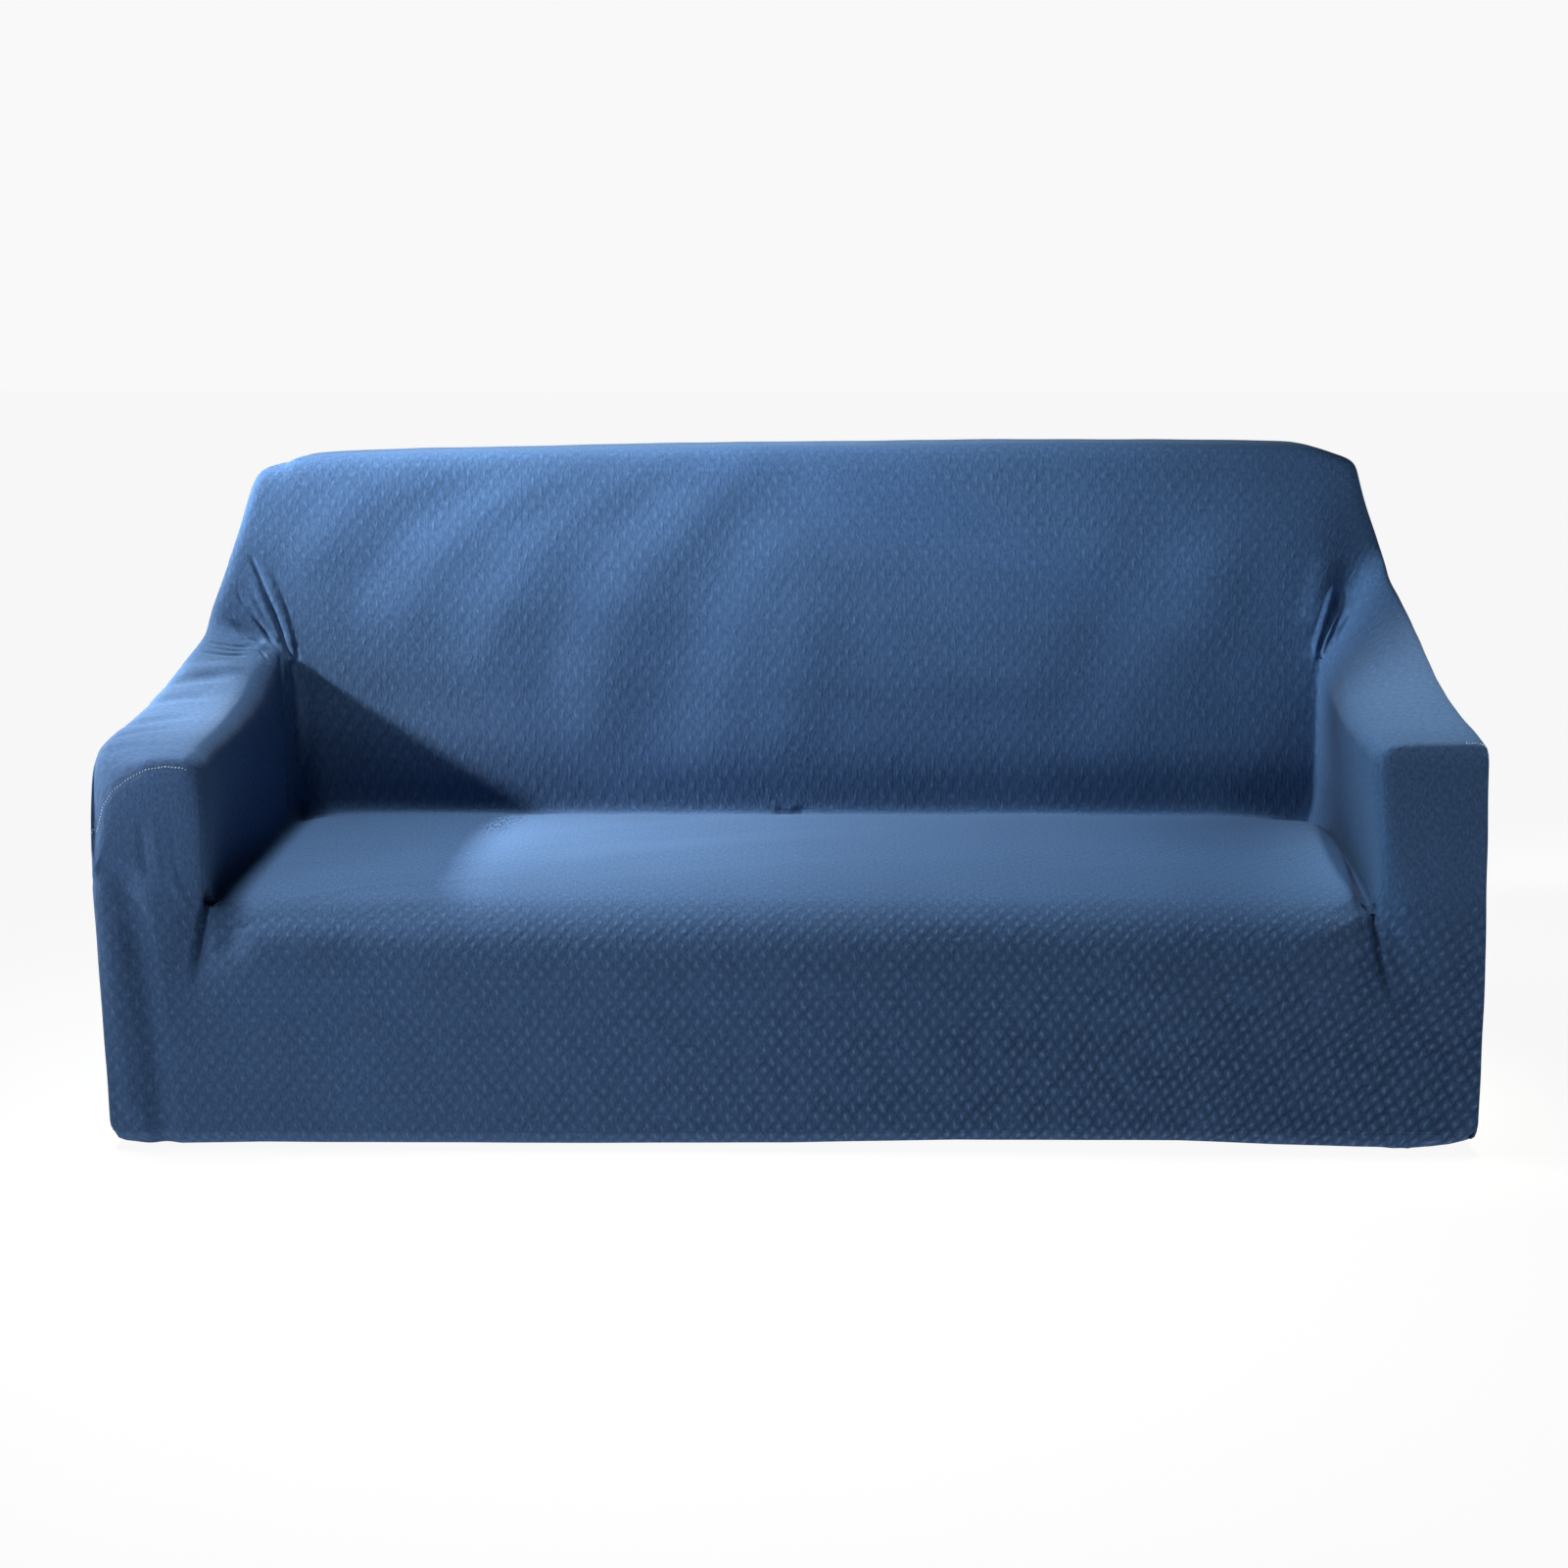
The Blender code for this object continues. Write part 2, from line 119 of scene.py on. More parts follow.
def put(name: str, data: bpy.types.ID) -> bpy.types.Object:
    """Make an object and put it in the scene.

    Args:
        name: the object's name.
        data: its mesh, light or camera.
    Returns:
        The object.
    """
    item = bpy.data.objects.new(name, data)
    bpy.context.scene.collection.objects.link(item)
    return item


def applied(item: bpy.types.Object) -> bpy.types.Mesh:
    """Make a plain mesh of an object with its modifiers applied."""
    bpy.context.view_layer.update()
    return bpy.data.meshes.new_from_object(item.evaluated_get(bpy.context.evaluated_depsgraph_get()))


def smooth_line(path: np.ndarray, steps: int = 6) -> np.ndarray:
    """Curve through a path's points, as points close together.

    Args:
        path: the points that the curve passes through, one a row.
        steps: points for each stretch of the path.
    Returns:
        The curve's points, one a row.
    """
    padded = np.vstack([2.0 * path[0] - path[1], path, 2.0 * path[-1] - path[-2]])
    t = np.linspace(0.0, 1.0, steps, endpoint=False)[:, None]
    curve = []
    for before, start, end, after in zip(padded, padded[1:], padded[2:], padded[3:]):
        bend = t**2 * (before - 2.5 * start + 2.0 * end - 0.5 * after)
        twist = t**3 * (1.5 * (start - end) + 0.5 * (after - before))
        curve.append(start + 0.5 * t * (end - before) + bend + twist)
    return np.vstack([*curve, path[-1:]])


@dataclass(frozen=True)
class Fold:
    """A soft ridge (height above 0) or trough (below 0) that the cloth makes along a line.

    Attributes:
        name: what it is on the cover.
        path: points along it in the working frame, in millimetres.
        half_width: from its line to where it has faded out, in millimetres.
        height: at its strongest, in millimetres.
        rise: share of its length over which it comes in.
        fall: share of its length over which it dies away.
        sharp: True for a creased bottom or crest, False for a rounded one.
        frontal: True where its distance is measured as seen from the front.
    """

    name: str
    path: tuple[tuple[int, int, int], ...]
    half_width: float
    height: float
    rise: float = 0.35
    fall: float = 0.15
    sharp: bool = False
    frontal: bool = False

    def close_by(self, places: np.ndarray, reach: float) -> np.ndarray:
        """Number the points inside the path's box, widened by a reach.

        Args:
            places: the points.
            reach: how far outside the box a point may lie.
        Returns:
            The numbers of those points.
        """
        path = np.array(self.path) / MM
        inside = (places > path.min(0) - reach) & (places < path.max(0) + reach)
        return np.flatnonzero(inside.all(axis=1))

    def nearest(self, places: np.ndarray) -> tuple[np.ndarray, np.ndarray]:
        """Find each point's distance to the line and its share of the way along it.

        Args:
            places: the points.
        Returns:
            The distances and the shares.
        """
        line = smooth_line(np.array(self.path) / MM)
        if self.frontal:
            line, places = line[:, ::2], places[:, ::2]
        runs = np.diff(line, axis=0)
        lengths = np.linalg.norm(runs, axis=1)
        distance = np.full(len(places), np.inf)
        share = np.zeros(len(places))
        walked = 0.0
        for start, run, length in zip(line, runs, lengths):
            along = np.clip((places - start) @ run / length**2, 0.0, 1.0)
            away = np.linalg.norm(places - start - along[:, None] * run, axis=1)
            closer = away < distance
            distance[closer] = away[closer]
            share[closer] = (walked + along[closer] * length) / lengths.sum()
            walked += length
        return distance, share

    def lift(self, places: np.ndarray) -> np.ndarray:
        """Height of the fold at each point, zero away from it.

        Args:
            places: the points.
        Returns:
            The heights, in metres.
        """
        half_width = self.half_width / MM
        near = self.close_by(places, half_width)
        distance, share = self.nearest(places[near])
        offset = np.clip(distance / half_width, 0.0, 1.0)
        profile = (1.0 - offset) ** 2 * (1.0 + 0.6 * offset) if self.sharp else (1.0 - offset**2) ** 2
        strength = ease(-0.02, self.rise, share) * (1.0 - ease(1.0 - self.fall, 1.02, share))
        lifts = np.zeros(len(places))
        lifts[near] = self.height / MM * profile * strength
        return lifts


@dataclass(frozen=True)
class Flank:
    """One side of the cover, as tables.

    Attributes:
        width: half width of the outline, by height.
        top_inner: height of the arm's top at its inner edge, by place from the front.
        top_outer: the same at its outer edge.
        face_low: from the middle to the arm's inner face at the seat, by place from the front.
        face_high: the same at the arm's top.
        softness: rounding of the arm's inner edge.
        front_softness: rounding of its front edge.
    """

    width: Table
    top_inner: Table
    top_outer: Table
    face_low: Table
    face_high: Table
    softness: float
    front_softness: float


LEFT = Flank(
    width={0.0: 0.951, 0.205: 0.957, 0.455: 0.960, 0.563: 0.953, 0.655: 0.945, 0.711: 0.922,
           0.772: 0.902, 0.823: 0.887, 0.877: 0.869, 0.934: 0.841},
    top_inner={0.0: 0.555, 0.16: 0.558, 0.30: 0.560, 0.44: 0.571, 0.55: 0.592, 0.60: 0.607,
               0.72: 0.619, 0.84: 0.627},
    top_outer={0.0: 0.556, 0.16: 0.565, 0.30: 0.577, 0.44: 0.600, 0.55: 0.624, 0.60: 0.636,
               0.72: 0.656, 0.84: 0.668},
    face_low={0.0: 0.806, 0.16: 0.815, 0.30: 0.806, 0.44: 0.802, 0.60: 0.801},
    face_high={0.0: 0.797, 0.16: 0.800, 0.30: 0.806, 0.44: 0.814, 0.60: 0.824},
    softness=0.010,
    front_softness=0.022,
)

RIGHT = Flank(
    width={0.0: 0.963, 0.205: 0.961, 0.455: 0.951, 0.563: 0.945, 0.655: 0.961, 0.711: 0.960,
           0.772: 0.950, 0.823: 0.929, 0.877: 0.914, 0.934: 0.901},
    top_inner={0.0: 0.573, 0.16: 0.575, 0.30: 0.578, 0.44: 0.583, 0.55: 0.591, 0.60: 0.597,
               0.72: 0.611, 0.84: 0.619},
    top_outer={0.0: 0.575, 0.16: 0.592, 0.30: 0.622, 0.44: 0.667, 0.55: 0.712, 0.60: 0.736,
               0.72: 0.774, 0.84: 0.794},
    face_low={0.0: 0.815, 0.16: 0.830, 0.30: 0.844, 0.44: 0.852, 0.60: 0.852},
    face_high={0.0: 0.792, 0.16: 0.794, 0.30: 0.808, 0.44: 0.829, 0.60: 0.854},
    softness=0.010,
    front_softness=0.006,
)

# Across the cover: how far the crown lies under its highest point, how far the front hem lies
# above its mean line, and the height of the sewn arc on the left facing.
CROWN_DIPS = {-0.96: 0.043, -0.80: 0.022, -0.42: 0.012, 0.0: 0.005, 0.45: 0.0, 0.70: 0.002,
              0.84: 0.004, 0.90: 0.011, 0.96: 0.029}
FRONT_HEM_LIFTS = {-0.962: 0.010, -0.930: -0.002, -0.890: -0.007, -0.740: -0.004, -0.300: -0.004,
                   0.0: -0.002, 0.240: 0.003, 0.550: 0.003, 0.680: -0.002, 0.800: -0.005,
                   0.850: -0.005, 0.900: -0.004, 0.925: -0.001, 0.945: 0.004, 0.962: 0.010}
LEFT_SEAM_ARC = {-0.946: 0.442, -0.935: 0.478, -0.920: 0.500, -0.899: 0.516, -0.872: 0.530,
                 -0.846: 0.534, -0.824: 0.532}
# How far the left facing's seam lies under the arm's top, by its distance from the middle.
LEFT_SEAM_DROPS = {0.820: 0.030, 0.850: 0.020, 0.890: 0.022, 0.930: 0.042, 0.962: 0.120}


@dataclass(frozen=True)
class CoverSizes:
    """Driving sizes of the stretched cover, in metres."""

    seat_half: float = 0.820
    arm_out: float = 0.962
    seat_depth: float = 0.600
    total_depth: float = 0.840
    seat_top: float = 0.352
    arm_top: float = 0.563
    crown: float = 0.934
    cloth: float = 0.002
    seam_gap: float = 0.00006
    back_lean: float = 0.080
    back_swell: float = 0.014
    seat_swell: float = 0.008
    tuck_drop: float = 0.026
    tuck_reach: float = 0.016
    right_tuck: float = 0.046
    deck_edge: float = 0.020
    corner_groove: float = 0.030
    groove_bulge: float = 0.014
    right_edge: float = 0.040
    seam_flare: float = 0.085
    flare_curve: float = 1.3
    arm_rise: float = 0.665
    hang_point: Point = (0.0, 0.760, 0.9268)
    stations_half_x: tuple[float, ...] = (0.0, 0.20, 0.40, 0.60, 0.765, 0.820, 0.850, 0.890, 0.930, 0.962)
    stations_y: tuple[float, ...] = (0.0, 0.048, 0.160, 0.300, 0.440, 0.550, 0.600, 0.660, 0.780, 0.840)
    stations_z: tuple[float, ...] = (
        0.0, 0.100, 0.205, 0.297, 0.352, 0.405, 0.527, 0.563, 0.607, 0.667, 0.757, 0.875, 0.934,
    )

    @property
    def stations_x(self) -> tuple[float, ...]:
        """Stations across the whole cover."""
        return tuple(-x for x in reversed(self.stations_half_x[1:])) + self.stations_half_x

    @property
    def shoulder_x(self) -> float:
        """Where the deck starts to fall into the crease beside an arm."""
        return self.stations_half_x[4]

    @property
    def shoulder_y(self) -> float:
        """Where the deck starts to fall into the crease at the back."""
        return self.stations_y[5]

    @property
    def facing_top(self) -> float:
        """The last station under the arm's top."""
        return self.stations_z[6]


# Folds of the cloth, with their paths and sizes in millimetres.
LEFT_GATHER = (
    Fold("long crease", ((-876, 653, 766), (-848, 641, 701), (-829, 636, 651), (-817, 628, 618),
         (-807, 620, 594)), 7.0, -6.5, 0.3, 0.02, True),
    Fold("bulge inside it", ((-862, 660, 756), (-835, 645, 694), (-815, 636, 644), (-803, 626, 606)), 14.0,
         3.4, 0.45, 0.1),
    Fold("bulge outside it", ((-876, 650, 734), (-856, 642, 690), (-837, 636, 648), (-822, 628, 616)), 10.0,
         2.2, 0.45, 0.1),
    Fold("middle crease", ((-894, 640, 700), (-879, 643, 670), (-859, 637, 647), (-843, 630, 626),
         (-824, 622, 603)), 6.4, -5.6, 0.35, 0.04, True),
    Fold("bulge above it", ((-880, 646, 700), (-862, 642, 666), (-842, 634, 636), (-826, 626, 614)), 9.0,
         2.0, 0.4, 0.1),
    Fold("soft crease between", ((-872, 648, 712), (-856, 645, 672), (-840, 638, 640), (-822, 628, 612)),
         5.0, -2.6, 0.5, 0.05, True),
    Fold("crease behind the arm's top", ((-912, 632, 655), (-888, 630, 641), (-868, 626, 631),
         (-846, 623, 615)), 10.0, -5.0, 0.5, 0.2),
    Fold("bulge under it", ((-920, 604, 642), (-892, 610, 631), (-862, 610, 619), (-840, 608, 607)), 14.0,
         2.4, 0.45, 0.15),
    Fold("faint inner crease", ((-821, 645, 698), (-810, 636, 657), (-800, 630, 618), (-795, 624, 590)),
         5.5, -2.2, 0.6, 0.02, True),
    Fold("tuck beside the arm", ((-822, 614, 606), (-817, 598, 560), (-811, 572, 480), (-806, 552, 405),
         (-799, 530, 358)), 8.0, -5.0, 0.1, 0.1),
    Fold("tuck down the back", ((-806, 622, 600), (-799, 614, 549), (-797, 605, 470), (-797, 598, 392)),
         7.0, -4.5, 0.1, 0.2),
    Fold("roll beside the tuck", ((-786, 618, 600), (-782, 612, 520), (-783, 606, 400)), 15.0, 4.0, 0.1,
         0.2),
    Fold("turned-in edge of the arm's top", ((-852, 600, 608), (-838, 586, 600), (-824, 572, 588)), 6.0,
         -2.4, 0.3, 0.3),
)

LEFT_ARM_RIPPLES = (
    Fold("pucker by the gather", ((-926, 606, 640), (-896, 606, 630), (-861, 616, 622)), 7.0, -2.0, 0.3,
         0.3),
    Fold("second pucker", ((-930, 575, 627), (-893, 583, 618), (-859, 606, 615)), 8.0, -2.2, 0.3, 0.25),
    Fold("third pucker", ((-934, 552, 622), (-893, 562, 614), (-862, 588, 609)), 7.0, -1.6, 0.4, 0.3),
    Fold("fourth pucker", ((-935, 525, 616), (-892, 541, 610), (-858, 572, 604)), 9.0, -2.2, 0.3, 0.3),
    Fold("ridge behind the first ripple", ((-943, 440, 606), (-904, 470, 600), (-856, 518, 594)), 26.0, 2.6,
         0.2, 0.3),
    Fold("first ripple", ((-944, 370, 595), (-908, 418, 591), (-860, 468, 587)), 24.0, -3.4, 0.2, 0.35),
    Fold("second ripple", ((-948, 272, 585), (-912, 318, 577), (-858, 366, 573)), 24.0, -3.0, 0.2, 0.35),
    Fold("third ripple", ((-944, 150, 566), (-907, 200, 566), (-856, 243, 563)), 22.0, -3.0, 0.2, 0.35),
    Fold("fourth ripple", ((-942, 82, 560), (-905, 128, 562), (-853, 164, 561)), 15.0, -2.2, 0.2, 0.35),
    Fold("fifth ripple, at the front edge", ((-943, 28, 551), (-896, 53, 558), (-830, 60, 557)), 16.0, -2.0,
         0.2, 0.35),
)

RIGHT_GATHER = (
    Fold("inner ridge", ((890, 651, 782), (876, 643, 721), (861, 643, 674), (848, 633, 628),
         (842, 621, 594)), 9.5, 4.8, 0.4, 0.05),
    Fold("inner trough", ((906, 645, 778), (891, 638, 722), (877, 645, 682), (864, 641, 643),
         (851, 629, 613), (845, 612, 587)), 8.0, -6.6, 0.4, 0.03, True),
    Fold("outer ridge", ((916, 640, 756), (902, 636, 720), (887, 634, 686), (872, 636, 651),
         (859, 630, 622), (850, 620, 600)), 7.5, 4.0, 0.35, 0.05),
    Fold("outer trough", ((926, 636, 744), (908, 635, 702), (893, 630, 674), (878, 628, 646),
         (862, 620, 618)), 7.5, -3.6, 0.4, 0.2, True),
    Fold("broad swell inside the ridges", ((868, 660, 770), (850, 650, 700), (838, 634, 630)), 34.0, 4.0,
         0.4, 0.2),
    Fold("crease that leaves the gather downwards", ((848, 624, 600), (840, 612, 560), (835, 606, 520)),
         7.0, -3.0, 0.05, 0.7),
    Fold("top pucker", ((920, 625, 708), (894, 630, 668), (868, 629, 628)), 8.5, 3.4, 0.3, 0.3),
    Fold("pucker under it", ((922, 596, 695), (895, 602, 660), (871, 610, 628)), 6.5, -3.0, 0.3, 0.3),
    Fold("second pucker", ((927, 566, 695), (896, 578, 657), (874, 600, 626)), 7.0, 2.8, 0.3, 0.3),
    Fold("pucker under that", ((932, 536, 688), (899, 552, 653), (877, 580, 624)), 6.5, -2.8, 0.3, 0.3),
    Fold("third pucker", ((937, 506, 680), (902, 522, 649), (879, 555, 622)), 7.0, 2.4, 0.3, 0.3),
    Fold("fourth pucker", ((942, 476, 668), (906, 493, 644), (882, 526, 620)), 7.0, -2.4, 0.3, 0.3),
    Fold("last pucker", ((946, 446, 657), (909, 460, 639), (885, 490, 618)), 8.0, 1.6, 0.3, 0.3),
)

SEAT_FOLDS = (
    Fold("long wave of the deck", ((-443, 240, 357), (-185, 349, 361), (262, 485, 356)), 40.0, -3.0, 0.35,
         0.35),
    Fold("swell in front of it", ((-398, 170, 356), (-152, 270, 359), (200, 380, 359)), 50.0, 3.0, 0.35,
         0.35),
    Fold("second wave", ((-360, 100, 356), (-100, 190, 359), (180, 260, 359)), 34.0, -1.8, 0.4, 0.4),
    Fold("swell behind the long wave", ((-480, 330, 357), (-200, 440, 361), (120, 530, 356)), 45.0, 2.2,
         0.4, 0.4),
    Fold("wave on the right", ((240, 160, 358), (460, 230, 358), (660, 270, 356)), 50.0, -2.0, 0.4, 0.4),
    Fold("edge of the cushion at the left", ((-790, 2, 334), (-750, 8, 344), (-698, 22, 351),
         (-601, 59, 355), (-476, 96, 357), (-380, 120, 358)), 16.0, 3.2, 0.05, 0.6),
    Fold("short crease at the left corner", ((-788, 4, 316), (-760, 2, 310), (-733, 0, 308)), 6.0, -2.0,
         0.2, 0.5),
    Fold("roll over that crease", ((-782, 6, 326), (-757, 4, 321), (-730, 2, 318)), 8.0, 1.4, 0.2, 0.5),
    Fold("pull at the left corner", ((-786, 0, 296), (-735, 0, 272)), 30.0, -4.0, 0.1, 0.6),
    Fold("pull at the right corner", ((806, 0, 318), (770, 0, 292), (700, 0, 276)), 26.0, -4.0, 0.1, 0.6),
    Fold("tuck down the left seat corner", ((-793, 34, 362), (-803, 20, 328), (-812, 10, 290),
         (-818, 4, 258), (-822, -4, 222)), 12.5, -13.5, 0.05, 0.45, True, True),
    Fold("roll inside that tuck", ((-775, 4, 345), (-788, 0, 308), (-795, -2, 262)), 22.0, 5.0, 0.15, 0.5,
         False, True),
    Fold("tuck down the right seat corner", ((800, 44, 360), (806, 24, 335), (811, 16, 300), (815, 8, 268),
         (828, 0, 230), (846, -4, 190)), 12.0, -13.0, 0.05, 0.6, True, True),
    Fold("crease beside the right arm", ((850, 590, 300), (852, 440, 305), (844, 300, 305), (830, 160, 305),
         (816, 50, 310)), 15.0, -11.0, 0.02, 0.05, True),
    Fold("crease beside the left arm", ((-801, 570, 330), (-802, 440, 328), (-806, 300, 328),
         (-815, 160, 328), (-806, 30, 330)), 10.0, -9.0, 0.05, 0.05),
    Fold("small tuck at the rear crease", ((-30, 606, 346), (0, 600, 340), (34, 604, 350)), 14.0, -5.0, 0.3,
         0.3),
    Fold("roll beside that tuck", ((20, 590, 352), (60, 594, 354)), 18.0, 3.0, 0.3, 0.5),
    Fold("drape wave of the right skirt", ((420, 0, 300), (560, 0, 170), (640, 0, 20)), 70.0, 3.0, 0.3,
         0.2),
    Fold("drape wave of the left skirt", ((-560, 0, 290), (-640, 0, 160), (-690, 0, 20)), 80.0, -3.0, 0.3,
         0.2),
)

FACING_FOLDS = (
    Fold("upright trough by the left edge", ((-905, 0, 372), (-890, 0, 250), (-880, 0, 120), (-876, 0, 0)),
         26.0, -11.0, 0.25, 0.01),
    Fold("hollow at the left edge", ((-950, 0, 392), (-915, 0, 374), (-880, 0, 350)), 34.0, -6.0, 0.05,
         0.5),
    Fold("roll outside it", ((-934, 0, 340), (-926, 0, 200), (-918, 0, 30)), 22.0, 5.0, 0.3, 0.1),
    Fold("left inner streak", ((-842, 0, 470), (-838, 0, 410), (-826, 0, 340)), 8.0, -1.0, 0.4, 0.4),
    Fold("left middle streak", ((-866, 0, 480), (-864, 0, 420), (-856, 0, 360)), 7.0, 0.7, 0.4, 0.4),
    Fold("left outer streak", ((-884, 0, 470), (-882, 0, 420), (-876, 0, 370)), 10.0, -1.2, 0.4, 0.4),
    Fold("left pull to the seat corner", ((-850, 0, 402), (-832, 2, 352), (-815, 4, 322)), 12.0, 1.8, 0.4,
         0.1),
    Fold("roll at the right seat corner", ((850, 2, 347), (836, 5, 330), (822, 8, 322)), 6.0, 4.0, 0.3,
         0.1),
    Fold("crease under that roll", ((848, 2, 336), (836, 4, 322), (826, 8, 315)), 6.0, -2.2, 0.3, 0.1),
    Fold("nick in the right inner edge", ((813, 20, 366), (808, 14, 350), (806, 12, 335)), 7.0, -4.0, 0.3,
         0.1),
    Fold("right facing's long swell", ((900, 0, 500), (902, 0, 340), (920, 0, 120)), 36.0, 2.0, 0.3, 0.3),
)

BACK_WAVES = (
    Fold("crest at the top left", ((-560, 705, 900), (-700, 690, 830), (-770, 670, 740), (-790, 655, 660)),
         60.0, 2.6, 0.3, 0.35),
    Fold("first slanting trough", ((-400, 705, 900), (-570, 690, 830), (-680, 670, 720), (-730, 650, 600)),
         48.0, -3.4, 0.25, 0.3),
    Fold("first slanting crest", ((-300, 705, 900), (-480, 690, 820), (-600, 665, 700), (-655, 640, 560)),
         46.0, 3.0, 0.25, 0.35),
    Fold("thin slanting trough", ((-250, 705, 905), (-420, 690, 820), (-530, 665, 700), (-590, 635, 540)),
         34.0, -2.2, 0.25, 0.35),
    Fold("bright slanting crest", ((-200, 705, 905), (-350, 690, 815), (-450, 660, 690), (-520, 625, 520)),
         46.0, 3.6, 0.25, 0.3),
    Fold("second slanting trough", ((-130, 705, 905), (-270, 690, 800), (-360, 660, 670), (-410, 620, 480)),
         50.0, -3.6, 0.25, 0.25),
    Fold("second slanting crest", ((-40, 700, 895), (-170, 685, 800), (-260, 665, 690), (-310, 630, 530),
         (-330, 605, 410)), 62.0, 2.8, 0.25, 0.15),
    Fold("third slanting trough", ((80, 700, 895), (-50, 685, 820), (-130, 665, 700), (-180, 630, 550),
         (-200, 605, 410)), 85.0, -3.6, 0.25, 0.15),
    Fold("upright crest by the middle", ((60, 675, 740), (20, 640, 600), (0, 605, 420)), 70.0, 2.2, 0.4,
         0.2),
    Fold("slanting crest right of the middle", ((60, 685, 820), (220, 672, 755), (430, 655, 680)), 50.0,
         2.4, 0.3, 0.4),
    Fold("slanting trough under it", ((40, 672, 745), (200, 655, 655), (400, 635, 570)), 50.0, -2.4, 0.3,
         0.4),
    Fold("second slanting crest on the right", ((60, 655, 670), (220, 635, 585), (380, 620, 520)), 45.0,
         2.0, 0.3, 0.4),
    Fold("long trough on the right", ((640, 690, 870), (560, 665, 720), (480, 630, 560), (440, 605, 420)),
         90.0, -2.6, 0.3, 0.2),
    Fold("crest beyond it", ((740, 690, 840), (680, 665, 700), (630, 630, 540)), 70.0, 2.2, 0.3, 0.3),
)

ALL_FOLDS = (
    *LEFT_GATHER, *LEFT_ARM_RIPPLES, *RIGHT_GATHER, *SEAT_FOLDS, *FACING_FOLDS, *BACK_WAVES,
)


